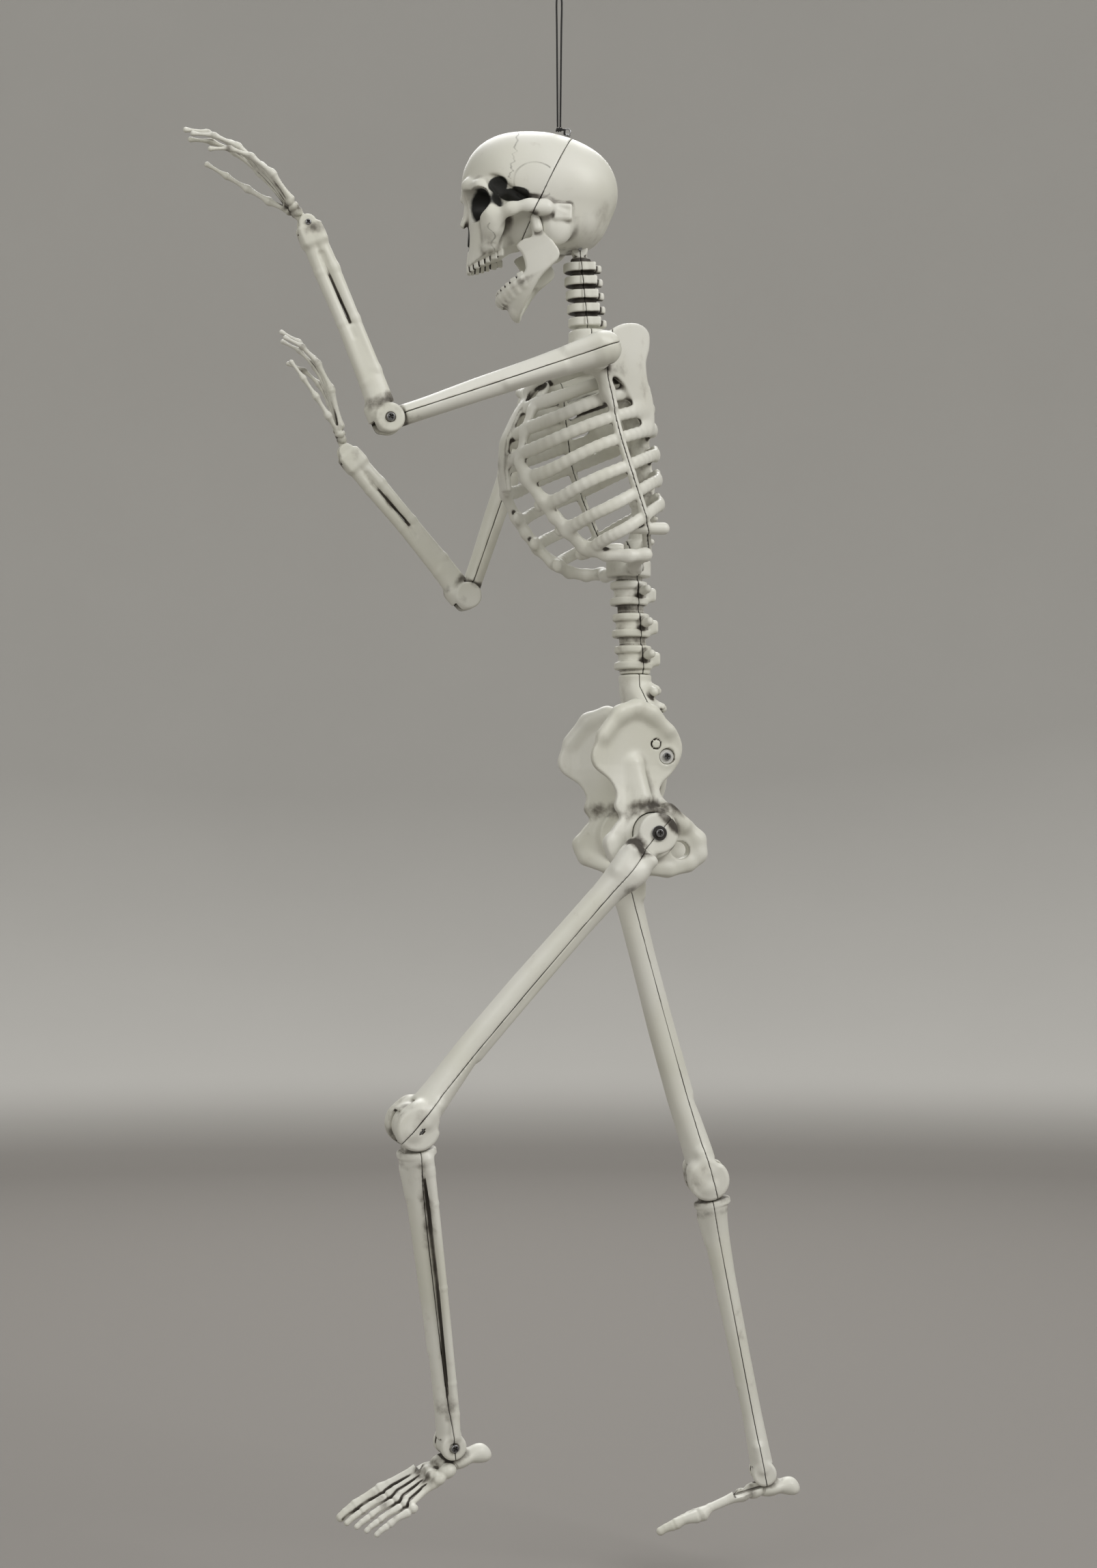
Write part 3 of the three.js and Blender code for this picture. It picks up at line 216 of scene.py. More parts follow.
class Finish:
    """A material under construction."""

    def __init__(self, name):
        self.material = bpy.data.materials.new(name)
        self.material.use_nodes = True
        self.tree = self.material.node_tree
        self.shader = self.tree.nodes["Principled BSDF"]

    def node(self, kind, output, settings=None, **sockets):
        made = self.tree.nodes.new(kind)
        for key, value in (settings or {}).items():
            setattr(made, key, value)
        for key, value in sockets.items():
            feed(self.tree, value, made.inputs[key.replace("_", " ")])
        return Wire(self.tree, made.outputs[output])

    def painted(self, name):
        """A value painted on the vertices."""
        return self.node("ShaderNodeAttribute", "Fac", {"attribute_name": name})

    def noise(self, scale, detail=3.0, roughness=0.55, stretch=None):
        place = self.node("ShaderNodeTexCoord", "Object")
        if stretch:
            mapping = self.node("ShaderNodeMapping", "Vector", None, Vector=place, Scale=stretch)
            place = mapping
        settings = dict(Vector=place, Scale=scale, Detail=detail, Roughness=roughness)
        return self.node("ShaderNodeTexNoise", "Fac", None, **settings)

    def mix(self, share, first, second):
        """From the first colour to the second."""
        made = self.tree.nodes.new("ShaderNodeMix")
        made.data_type = "RGBA"
        feed(self.tree, share, made.inputs[0])
        feed(self.tree, first, made.inputs[6])
        feed(self.tree, second, made.inputs[7])
        return Wire(self.tree, made.outputs[2])

    def bump(self, height, distance, strength=1.0, below=None):
        sockets = dict(Height=height, Distance=distance, Strength=strength)
        if below is not None:
            sockets["Normal"] = below
        return self.node("ShaderNodeBump", "Normal", None, **sockets)

    def set(self, **sockets):
        for key, value in sockets.items():
            feed(self.tree, value, self.shader.inputs[key.replace("_", " ")])
        return self.material


def from_screen(red, green, blue):
    """A colour as it is named on a screen, 0 to 255, turned to the shader's linear values."""
    def linear(level):
        level /= 255
        return level / 12.92 if level <= 0.04045 else ((level + 0.055) / 1.055) ** 2.4

    return (linear(red), linear(green), linear(blue), 1.0)


# %% [markdown]
# The bone finish: ivory plastic with a soft gloss. The factory wipes a brown-black wash over it,
# which stays in the hollows, and a thin dark line shows where two mouldings meet. The hollows,
# the inked sockets and the lines are values painted on the vertices as each bone is made.

# %% Bone plastic
def bone_finish(name, light, warm):
    made = Finish(name)
    clouds = made.noise(9.0, 2.0)
    mottle = made.noise(60.0, 4.0)
    fibres = made.noise(35.0, 3.0, 0.6, (1.0, 1.0, 0.25))
    body = made.mix(clouds.rise(0.35, 0.7), light, warm)
    body = made.mix((mottle * 0.5 + fibres * 0.5).rise(0.5, 0.75) * 0.25, body, from_screen(205, 200, 186))
    hollow = made.painted("hollow")
    breakup = mottle * 0.55 + fibres * 0.45
    wash = (hollow + (breakup - 0.5) * 0.5).rise(0.16, 0.52)
    stain = (made.painted("stain") + (breakup - 0.5) * 1.9).rise(0.15, 0.8)
    darkening = wash.most(stain)
    body = made.mix(darkening * 0.78, body, from_screen(92, 80, 66))
    body = made.mix((darkening * darkening * darkening) * 0.8, body, from_screen(34, 28, 22))
    parting = made.painted("parting")
    line = 1 - parting.maths("ABSOLUTE", parting).rise(0.12, 0.55)
    worn = made.noise(14.0, 3.0, 0.6).rise(0.38, 0.62)
    body = made.mix(line * (0.06 + 0.6 * worn), body, from_screen(44, 37, 30))
    ink = (made.painted("ink") + (breakup - 0.5) * 0.35).rise(0.42, 0.58)
    body = made.mix(ink, body, from_screen(19, 19, 14))
    grain = made.bump(made.noise(420.0, 2.0), 0.00012, 0.25)
    waves = made.bump(made.noise(26.0, 3.0), 0.0011, 0.22, grain)
    groove = made.bump(line * -1.0, 0.0005, 0.6, waves)
    rough = 0.4 + 0.1 * mottle + 0.25 * darkening + 0.15 * ink
    return made.set(Base_Color=body, Roughness=rough, Normal=groove, Coat_Weight=0.04, IOR=1.46)


bone = bone_finish("bone_plastic", from_screen(222, 221, 212), from_screen(212, 211, 198))
print("bone finish has", len(bone.node_tree.nodes), "nodes")

# %% [markdown]
# The figure hangs from a loop of thin round elastic. It is knotted at a small metal eye on the
# crown, goes up to the hook and comes back, so its two strands run side by side and taut. The
# route repeats the frame's own: up one side, half a turn at the top, and down the other.

# %% Black elastic
def elastic_finish():
    made = Finish("black_elastic")
    weave = made.noise(900.0, 2.0, 0.5, (1.0, 1.0, 0.4))
    colour = made.mix(weave.rise(0.3, 0.7), from_screen(14, 14, 14), from_screen(34, 33, 32))
    ribs = made.bump(weave, 0.0002, 0.6)
    return made.set(Base_Color=colour, Roughness=0.62 + 0.15 * weave, Normal=ribs)


elastic = elastic_finish()

# %% [markdown]
# The route starts over the knot. Each share of the foot's place is a point on a strand, with how
# far the strand leans out there.

# %% Hanging loop
CORD_DIAMETER = 0.002
EYE = Vector((0, -13, 129.6))
KNOT = Vector((0, -22.2, 132.0))
CORD_FOOT = places["head"] @ (KNOT + Vector((0, 0, 3.0))) * MM


def loop_route(foot, width=0.0056, spread=((1, 0.0015), (0.6, 0.002), (0.25, 0.0025))):
    """Up one strand, round the top, and down the other."""
    radius = width / 2
    bend = CORD_DIAMETER / 2 - radius
    rising = [Vector((foot.x * share, foot.y * share - off, foot.z * share)) for share, off in spread]
    turn = []
    for step in range(7):
        angle = math.pi * (1 - step / 6)
        turn.append(Vector((0, radius * math.cos(angle), bend + radius * math.sin(angle))))
    falling = [Vector((foot.x * share, foot.y * share + off, foot.z * share)) for share, off in spread]
    return rising + turn + falling[::-1]


def smooth_line(points, steps=8):
    """A centripetal curve through the points, as a fine line of short steps."""
    def knots(a, b):
        return max((b - a).length, 1e-9) ** 0.5

    padded = [2 * points[0] - points[1], *points, 2 * points[-1] - points[-2]]
    line = []
    for a, b, c, d in zip(padded, padded[1:], padded[2:], padded[3:]):
        t1, t2, t3 = knots(a, b), knots(b, c), knots(c, d)
        out_b = ((b - a) / t1 - (c - a) / (t1 + t2) + (c - b) / t2) * t2
        out_c = ((c - b) / t2 - (d - b) / (t2 + t3) + (d - c) / t3) * t2
        for step in range(steps):
            t = step / steps
            line.append((2 * t**3 - 3 * t**2 + 1) * b + (t**3 - 2 * t**2 + t) * out_b
                        + (3 * t**2 - 2 * t**3) * c + (t**3 - t**2) * out_c)
    return [*line, points[-1]]


loop_points = smooth_line(loop_route(CORD_FOOT))
loop_curve = bpy.data.curves.new("hanging_loop", "CURVE")
loop_curve.dimensions = "3D"
loop_curve.bevel_depth = CORD_DIAMETER / 2
loop_curve.bevel_resolution = 4
loop_curve.use_fill_caps = True
spline = loop_curve.splines.new("POLY")
spline.points.add(len(loop_points) - 1)
for point, place in zip(spline.points, loop_points):
    point.co = (*place, 1)
hanging_loop = bpy.data.objects.new("hanging_loop", loop_curve)
bpy.context.scene.collection.objects.link(hanging_loop)
hanging_loop.data.materials.append(elastic)
loop_length = sum((b - a).length for a, b in zip(loop_points, loop_points[1:]))
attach(hanging_loop, "skull")
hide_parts("hanging_cord")
print("elastic loop:", round(loop_length, 4), "m of cord")

# %% [markdown]
# Bones have no flat faces to extrude, so they are built like clay. Each point of a grid holds
# its distance to the surface, negative inside. Lumps are blended on, hollows are cut away, and
# the surface is the skin where the distance is zero. A blend radius gives every joint between
# two lumps the soft fillet of a casting.

# %% Clay: a grid of distances
FAR = 10.0  # millimetres: distances past this are not kept


def softer(a, b, blend):
    """The smaller of two distances, with a fillet."""
    if blend <= 0:
        return np.minimum(a, b)
    share = np.clip(0.5 + 0.5 * (b - a) / blend, 0, 1)
    return b + (a - b) * share - blend * share * (1 - share)


class Clay:
    """Distances on a grid, in millimetres. A mirrored one is worked on its outer half only."""

    def __init__(self, low, high, step, mirrored=False):
        low = [0.0 if mirrored else low[0], low[1], low[2]]
        self.step = step
        self.mirrored = mirrored
        self.axes = [np.arange(a, b + step, step, dtype=np.float32) for a, b in zip(low, high)]
        self.field = np.full([len(axis) for axis in self.axes], FAR, np.float32)

    def window(self, low, high, margin):
        spans = []
        for axis, a, b in zip(self.axes, low, high):
            spans.append(slice(*np.searchsorted(axis, (a - margin, b + margin))))
        parts = [axis[span] for axis, span in zip(self.axes, spans)]
        return tuple(spans), np.meshgrid(*parts, indexing="ij", sparse=True)

    def add(self, shape, blend=0.0):
        low, high, distance = shape
        spans, grid = self.window(low, high, FAR)
        if all(span.stop > span.start for span in spans):
            self.field[spans] = softer(self.field[spans], distance(*grid), blend)
        return self

    def cut(self, shape, blend=0.0):
        low, high, distance = shape
        spans, grid = self.window(low, high, FAR)
        if all(span.stop > span.start for span in spans):
            self.field[spans] = -softer(-self.field[spans], distance(*grid), blend)
        return self

    def add_all(self, shapes, blend=0.0):
        for shape in shapes:
            self.add(shape, blend)
        return self

    def cut_all(self, shapes, blend=0.0):
        for shape in shapes:
            self.cut(shape, blend)
        return self

    def whole(self):
        """The full grid and its lowest corner."""
        low = [float(axis[0]) for axis in self.axes]
        field = np.clip(self.field, -FAR, FAR)
        if self.mirrored:
            field = np.concatenate([field[:0:-1], field])
            low[0] = -float(self.axes[0][-1])
        return field, np.array(low)


def ball(centre, radii):
    centre = np.array(centre, float)
    radii = np.broadcast_to(np.array(radii, float), 3)

    def distance(x, y, z):
        u, v, w = (x - centre[0]) / radii[0], (y - centre[1]) / radii[1], (z - centre[2]) / radii[2]
        inner = np.sqrt(u * u + v * v + w * w)
        outer = np.sqrt((u / radii[0]) ** 2 + (v / radii[1]) ** 2 + (w / radii[2]) ** 2)
        return inner * (inner - 1) / np.maximum(outer, 1e-6)

    return centre - radii, centre + radii, distance


def rod(start, end, r1, r2=None, flat=None, squeeze=1.0):
    """A round bar between two points. It is thinner by squeeze along flat, where that is given."""
    a, b = np.array(start, float), np.array(end, float)
    r2 = r1 if r2 is None else r2
    along = b - a
    length = max(float(along @ along), 1e-9)
    big = max(r1, r2)

    def distance(x, y, z):
        px, py, pz = x - a[0], y - a[1], z - a[2]
        t = np.clip((px * along[0] + py * along[1] + pz * along[2]) / length, 0, 1)
        qx, qy, qz = px - t * along[0], py - t * along[1], pz - t * along[2]
        far = qx * qx + qy * qy + qz * qz
        if flat is not None:
            across = qx * flat[0] + qy * flat[1] + qz * flat[2]
            far = far + (squeeze * squeeze - 1) * across * across
        return np.sqrt(far) - (r1 + (r2 - r1) * t)

    return np.minimum(a, b) - big, np.maximum(a, b) + big, distance


def chain(stations, flat=None, squeeze=1.0):
    """Bars end to end through stations of [x, y, z, radius]."""
    return [rod(a[:3], b[:3], a[3], b[3], flat, squeeze) for a, b in zip(stations, stations[1:])]


def disc(axis, centre, radius, half, edge=1.0):
    """A round plate whose faces look along an axis, 0 to 2, with its rim rounded."""
    centre = np.array(centre, float)
    size = np.full(3, float(radius))
    size[axis] = half

    def distance(*grid):
        offset = [value - middle for value, middle in zip(grid, centre)]
        u, v = [offset[k] for k in range(3) if k != axis]
        side = np.sqrt(u * u + v * v) - (radius - edge)
        face = np.abs(offset[axis]) - (half - edge)
        outside = np.sqrt(np.maximum(side, 0) ** 2 + np.maximum(face, 0) ** 2)
        return outside + np.minimum(np.maximum(side, face), 0) - edge

    return centre - size, centre + size, distance


def box(low, high, edge=1.0):
    low, high = np.array(low, float), np.array(high, float)
    middle, half = (low + high) / 2, (high - low) / 2 - edge

    def distance(x, y, z):
        gaps = [np.abs(v - middle[k]) - half[k] for k, v in enumerate((x, y, z))]
        outside = np.sqrt(sum(np.maximum(gap, 0) ** 2 for gap in gaps))
        inside = np.minimum(np.maximum(np.maximum(gaps[0], gaps[1]), gaps[2]), 0)
        return outside + inside - edge

    return low, high, distance


def flowing(z, levels, values, spread=5.0):
    """Values read between levels, with the corners eased."""
    order = np.argsort(levels)
    levels, values = np.array(levels, float)[order], np.array(values, float)[order]
    offsets = (-1, -0.5, 0, 0.5, 1)
    return sum(np.interp(z + spread * k, levels, values) for k in offsets) / len(offsets)


def loft(stations, spread=5.0, edge=3.0):
    """Level oval sections, each [x, y, z, half width, half depth]."""
    table = np.array(stations, float)
    levels = table[:, 2]
    low = [(table[:, 0] - table[:, 3]).min(), (table[:, 1] - table[:, 4]).min(), levels.min()]
    high = [(table[:, 0] + table[:, 3]).max(), (table[:, 1] + table[:, 4]).max(), levels.max()]

    def distance(x, y, z):
        cx, cy, rx, ry = (flowing(z, levels, table[:, k], spread) for k in (0, 1, 3, 4))
        rx, ry = rx - edge, ry - edge
        u, v = (x - cx) / rx, (y - cy) / ry
        inner = np.sqrt(u * u + v * v)
        outer = np.sqrt((u / rx) ** 2 + (v / ry) ** 2)
        side = inner * (inner - 1) / np.maximum(outer, 1e-6)
        end = np.maximum(z - high[2], low[2] - z) + edge
        outside = np.sqrt(np.maximum(side, 0) ** 2 + np.maximum(end, 0) ** 2)
        return outside + np.minimum(np.maximum(side, end), 0) - edge

    return np.array(low), np.array(high), distance


def curved(points, steps=5):
    """A closed outline bent through its points."""
    ring = np.array(points, float)
    out = []
    for k in range(len(ring)):
        a, b, c, d = (ring[(k + shift) % len(ring)] for shift in (-1, 0, 1, 2))
        for step in range(steps):
            t = step / steps
            out.append(0.5 * (2 * b + (c - a) * t + (2 * a - 5 * b + 4 * c - d) * t * t
                              + (3 * b - 3 * c + d - a) * t**3))
    return np.array(out)


def outline_distance(outline, y, z):
    """Distance in the side view to a closed outline, negative inside."""
    nearest = np.full(np.broadcast(y, z).shape, 1e9, np.float32)
    inside = np.zeros(nearest.shape, bool)
    for (ay, az), (by, bz) in zip(outline, np.roll(outline, -1, axis=0)):
        ey, ez = by - ay, bz - az
        t = np.clip(((y - ay) * ey + (z - az) * ez) / max(ey * ey + ez * ez, 1e-9), 0, 1)
        nearest = np.minimum(nearest, (y - ay - t * ey) ** 2 + (z - az - t * ez) ** 2)
        if az != bz:
            inside ^= ((az > z) != (bz > z)) & (y < ay + (z - az) * ey / ez)
    return np.where(inside, -1, 1) * np.sqrt(nearest)


def blade(outline, middle, half, span, edge=2.0, lean=1.0):
    """A bent plate: a side-view outline whose mid surface is at x = middle(y, z)."""
    low = np.array([span[0], outline[:, 0].min(), outline[:, 1].min()])
    high = np.array([span[1], outline[:, 0].max(), outline[:, 1].max()])

    def distance(x, y, z):
        side = outline_distance(outline, y, z) + edge
        thick = half(y, z) if callable(half) else half
        face = np.abs(x - middle(y, z)) * lean - thick + edge
        outside = np.sqrt(np.maximum(side, 0) ** 2 + np.maximum(face, 0) ** 2)
        return outside + np.minimum(np.maximum(side, face), 0) - edge

    return low, high, distance


print("clay tools ready")

# %% [markdown]
# The skin of the clay becomes a mesh. Four values are painted on its vertices on the way: how
# deep in a hollow each one sits, found by stepping off the surface and reading the distance,
# any listed stain or ink, and the distance to the parting line. A bone moulded in two
# halves is cut along that line into two real pieces with a hair of space between them.

# %% From clay to pieces
def read(field, low, step, points):
    """Distances at points, between the grid's values."""
    place = (points - low) / step
    top = np.array(field.shape) - 1.001
    place = np.clip(place, 0, top)
    base = place.astype(np.int32)
    fx, fy, fz = (place - base).T
    i, j, k = base.T
    total = np.zeros(len(points))
    for di in (0, 1):
        for dj in (0, 1):
            for dk in (0, 1):
                weight = np.abs(1 - di - fx) * np.abs(1 - dj - fy) * np.abs(1 - dk - fz)
                total += weight * field[i + di, j + dj, k + dk]
    return total


def skin(field, low, step):
    grid = openvdb.FloatGrid(FAR)
    grid.copyFromArray(np.ascontiguousarray(field, np.float32))
    points, triangles, quads = grid.convertToPolygons(isovalue=0.0, adaptivity=0.0)
    return points * step + low, triangles, quads


def hollowness(field, low, step, points):
    """1 in a tight hollow, 0 on an open face, seen at three scales."""
    slope = np.stack([
        read(field, low, step, points + offset) - read(field, low, step, points - offset)
        for offset in np.eye(3) * step
    ], axis=1)
    slope /= np.maximum(np.linalg.norm(slope, axis=1, keepdims=True), 1e-6)
    total = np.zeros(len(points))
    for reach, weight in ((2.0, 0.45), (4.5, 0.35), (8.0, 0.2)):
        total += weight * np.clip(1 - read(field, low, step, points + slope * reach) / reach, 0, 1)
    return total


def dabs(points, spots):
    """Listed marks, each (centre, radii, strength)."""
    value = np.zeros(len(points))
    for centre, radii, strength in spots:
        far = np.linalg.norm((points - np.array(centre)) / np.array(radii), axis=1)
        value = np.maximum(value, strength * np.clip(1.6 - far, 0, 1))
    return value


def side_of(line, y, z):
    """How far behind a parting line a place is; the line is [y, z] points from the top down."""
    table = np.array(line, float)[::-1]
    level = np.interp(z, table[:, 1], table[:, 0])
    slope = (np.interp(z + 1, table[:, 1], table[:, 0]) - np.interp(z - 1, table[:, 1], table[:, 0])) / 2
    return (y - level) / np.sqrt(1 + slope * slope)


SEAM_GAP = 0.3
NO_LINE = 50.0


def put_together(name, place, points, triangles, quads, paint):
    """A mesh object from points in a bone's own frame."""
    world = points @ np.array(place.to_3x3()).T + np.array(place.translation)
    flip = place.determinant() < 0
    loops = quads[:, ::-1].ravel() if flip else quads.ravel()
    starts = np.arange(0, quads.size, 4)
    mesh = bpy.data.meshes.new(name)
    if len(triangles):
        starts = np.concatenate([starts, quads.size + np.arange(0, triangles.size, 3)])
        loops = np.concatenate([loops, (triangles[:, ::-1] if flip else triangles).ravel()])
    mesh.vertices.add(len(world))
    mesh.vertices.foreach_set("co", (world * MM).astype(np.float32).ravel())
    mesh.loops.add(len(loops))
    mesh.loops.foreach_set("vertex_index", loops.astype(np.int32))
    mesh.polygons.add(len(starts))
    mesh.polygons.foreach_set("loop_start", starts.astype(np.int32))
    mesh.update(calc_edges=True)
    for key, values in paint.items():
        layer = mesh.attributes.new(key, "FLOAT", "POINT")
        layer.data.foreach_set("value", values.astype(np.float32))
    mesh.shade_smooth()
    mesh.set_sharp_from_angle(angle=math.radians(48))
    made = bpy.data.objects.new(name, mesh)
    bpy.context.scene.collection.objects.link(made)
    return made


def cast(clay, targets, parting=None, lines=(), stains=(), ink=(), finish=None):
    """Turns clay into pieces. Each target is (name, place, body, nodes); with a parting line it has
    two names and two lots of nodes, the front's and the rear's."""
    field, low = clay.whole()
    grids = [low[k] + clay.step * np.arange(field.shape[k]) for k in range(3)]
    y, z = np.meshgrid(grids[1], grids[2], indexing="ij", sparse=True)
    cuts = [None]
    if parting is not None:
        behind = side_of(parting, y, z)[None]
        cuts = [behind + SEAM_GAP / 2, SEAM_GAP / 2 - behind]
    made = []
    for half, trim in enumerate(cuts):
        shaped = field if trim is None else np.maximum(field, trim)
        points, triangles, quads = skin(shaped, low, clay.step)
        paint = {
            "hollow": hollowness(field, low, clay.step, points),
            "stain": dabs(points, stains),
            "ink": dabs(points, ink),
            "parting": np.full(len(points), NO_LINE),
        }
        if parting is not None:
            paint["parting"] = np.abs(side_of(parting, points[:, 1], points[:, 2])) - SEAM_GAP / 2
        for line in lines:
            paint["parting"] = np.minimum(paint["parting"], line(points))
        for names, place, body, nodes in targets:
            name = names if trim is None else names[half]
            piece = put_together(name, place, points, triangles, quads, paint)
            piece.data.materials.append(finish or bone)
            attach(piece, body)
            replaced = nodes if trim is None else nodes[half]
            if replaced:
                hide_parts(*replaced)
            made.append(piece)
    print(targets[0][0], field.shape, "faces", [len(piece.data.polygons) for piece in made])
    return made

# %% [markdown]
# The skull is two mouldings, a face and a back, that meet on a slanting line over the crown and
# past the ears. Overlapping egg shapes give the braincase. The cheekbones, brow and jaws are
# bars blended on, and the sockets, nose and temple hollows are cut away after that.

# %% Skull
SKULL_SEAM = [[-9, 140], [-9, 118], [-66, 0], [-80, -29]]


def gum_level(y):
    return -19.5 + 0.42 * (y + 119)


# half width of a tooth row, its length front to back, how square it is, and the crowns' widths
UPPER_ARCH = {
    "front": -119.5, "half": 26, "back": 30, "square": 2.3, "level": gum_level,
    "widths": (8, 6.4, 7.2, 6.6, 6.4, 8.6, 8.2),
}


def arch_line(arch, x):
    return arch["front"] + arch["back"] * (x / arch["half"]) ** arch["square"]


def arch_places(arch):
    """The middle of each crown on one side, walked off along the arch."""
    x_fine = np.linspace(0, arch["half"] * 1.05, 400)
    y_fine = arch_line(arch, x_fine)
    walked = np.concatenate([[0], np.cumsum(np.hypot(np.diff(x_fine), np.diff(y_fine)))])
    at, found = 0.0, []
    for width in arch["widths"]:
        middle = at + width / 2
        at += width
        x, y = (float(np.interp(middle, walked, line)) for line in (x_fine, y_fine))
        found.append((x, y, float(arch["level"](y))))
    return found


def skull_clay():
    clay = Clay((0, -137, -34), (74, 46, 130), 1.3, mirrored=True)
    clay.add(ball((0, -46, 66), (62.5, 79, 58)))
    clay.add(ball((0, -11, 61), (55, 51.5, 51)), 14)
    clay.add(ball((0, -50, 84), (50, 60, 40.5)), 12)
    clay.add(ball((0, -76, 76), (53, 47, 45)), 14)
    clay.add(ball((0, -14, 28), (46, 40, 31)), 12)
    clay.add(ball((44, -27, 16), (12, 16, 20)), 10)
    clay.add(ball((0, -60, 22), (36, 34, 26)), 10)
    clay.add(loft([
        [0, -99, 56, 44, 21],
        [0, -97, 32, 42, 23],
        [0, -96, 14, 37, 24],
        [0, -97, -6, 30.5, 23.5],
        [0, -98, -20, 27.5, 22],
        [0, -99, -34, 26, 19],
    ]), 9)
    clay.add_all(chain([[0, -117, 54, 6], [0, -118.5, 42, 4.5], [0, -126, 26, 3.4]]), 5)
    clay.add_all(chain([[8, -121, 58, 5], [28, -120.5, 62, 5.5], [45, -109, 58, 5], [50, -101, 46, 5]]), 8)
    clay.add_all(chain([[50, -101, 46, 5], [50, -100, 30, 6.5]]), 6)
    clay.add(ball((45, -95, 22), (13, 12, 14)), 12)
    clay.add_all(chain([[44, -95, 10, 6], [36, -98, -4, 6]]), 14)
    cheek_arch = [[53, -91, 24, 6.4], [61, -76, 31, 5.6], [63, -58, 35, 5.2], [60, -40, 34, 5.6]]
    clay.add_all(chain(cheek_arch, (1, 0, 0), 1.6), 8)
    # where the jaw hangs, the raised block behind the ear and the oval plate over it
    clay.add(ball((55, -45, 32), (7, 13, 6)), 10)
    clay.add(box((44, -31, 20), (58.5, -11, 38), 3), 2.5)
    clay.add(ball((45, -51, 61), (15.5, 24, 21)), 2)
    # sockets
    clay.cut(ball((28, -118, 41), (16.5, 30, 16.5)), 2.5)
    clay.cut(ball((42, -110, 41), (24, 13, 15.5)), 3)
    # nose
    clay.cut_all(chain([[0, -131, 22, 4], [4.5, -127, 10, 6.5], [4, -124, 3, 6]]), 2)
    clay.add_all(chain([[0, -118, 26, 1.4], [0, -120, 4, 1.4]]), 1)
    # temple hollows, and the room inside the cheekbone
    wedge = curved([
        [-102, 68], [-90, 68], [-78, 58], [-66, 50], [-55, 43.5], [-68, 40.5], [-84, 43], [-94, 52],
    ])
    clay.cut(blade(wedge, lambda y, z: 62 + 0 * y, 13, (48, 76), 1.5), 2.5)
    clay.cut_all(chain([[50, -80, 40, 7], [52, -62, 26, 6], [52, -60, 8, 6]]), 5)
    clay.cut_all(chain([[60, -24, 34, 2.4], [60, -16, 31, 2.4]]), 2)
    # the roof of the mouth, and the room that the tongue of the neck turns in
    clay.cut(ball((0, -90, -22), (20, 27, 16)), 5)
    clay.cut(box((-1, -13, -40), (10.5, 13, -1), 2), 3)

    def below_gums(x, y, z):
        return (z - gum_level(y)) * 0.92 + 0 * x

    clay.cut(((-1, -130, -40), (60, -60, 0), below_gums), 3)
    # the rows of root swellings over the teeth
    for x, y, top in arch_places(UPPER_ARCH):
        clay.add(rod((x * 1.01, y - 0.9, top + 1), (x * 1.01, y + 0.6, top + 13), 2.5, 1.5), 4)
    return clay


def tooth(x, y, level, width, height, arch, down=-1):
    """A crown: wide and thin at its edge, round at the neck."""
    slope = arch["back"] * arch["square"] / arch["half"] * (x / arch["half"]) ** (arch["square"] - 1)
    along = np.array([1, slope]) / math.hypot(1, slope)
    depth = 2.2 if width < 6.5 else 2.8
    middle = level + down * height * 0.36

    def distance(px, py, pz):
        u = (px - x) * along[0] + (py - y) * along[1]
        v = -(px - x) * along[1] + (py - y) * along[0]
        w = (pz - middle) * down
        half = width * (0.43 + 0.035 * np.clip(w / height, -1, 1))
        taper = depth * (1 - 0.35 * np.clip(w / height + 0.2, 0, 1))
        gaps = [np.abs(u) - half + 1.5, np.abs(v) - taper + 1.5, np.abs(w) - height / 2 + 1.5]
        outside = np.sqrt(sum(np.maximum(gap, 0) ** 2 for gap in gaps))
        return outside + np.minimum(np.maximum(np.maximum(gaps[0], gaps[1]), gaps[2]), 0) - 1.5

    reach = np.array([width, width, height])
    return np.array([x, y, middle]) - reach, np.array([x, y, middle]) + reach, distance


def suture(points):
    """The growth line over the brow, down from the crown to the temple."""
    wobble = 1.6 * np.sin(points[:, 2] * 0.55) + 0.9 * np.sin(points[:, 0] * 0.8 + points[:, 2] * 1.3)
    line = -68 - 9 * np.clip((118 - points[:, 2]) / 50, 0, 1) + wobble
    faded = np.where(points[:, 2] > 62, 0, 5)
    return np.abs(points[:, 1] - line) * 0.34 + faded + 0.04


def temple_plate(points):
    """The edge of the oval plate over the ear, drawn as a line."""
    far = np.hypot((points[:, 1] + 51) / 22.5, (points[:, 2] - 61) / 19.5)
    front = np.where(points[:, 1] > -34, 4, 0)
    return np.abs(far - 1) * 7.5 + front + np.where(np.abs(points[:, 0]) < 40, 9, 0.06)


def cheek_joint(points):
    """The line between cheekbone and upper jaw."""
    y = -96 + 3.0 * np.sin(points[:, 2] * 0.4) - 0.25 * (points[:, 2] - 5)
    hidden = np.where((points[:, 2] < -9) | (points[:, 2] > 17) | (np.abs(points[:, 0]) < 25), 9, 0)
    return np.abs(points[:, 1] - y) * 0.38 + hidden + 0.03


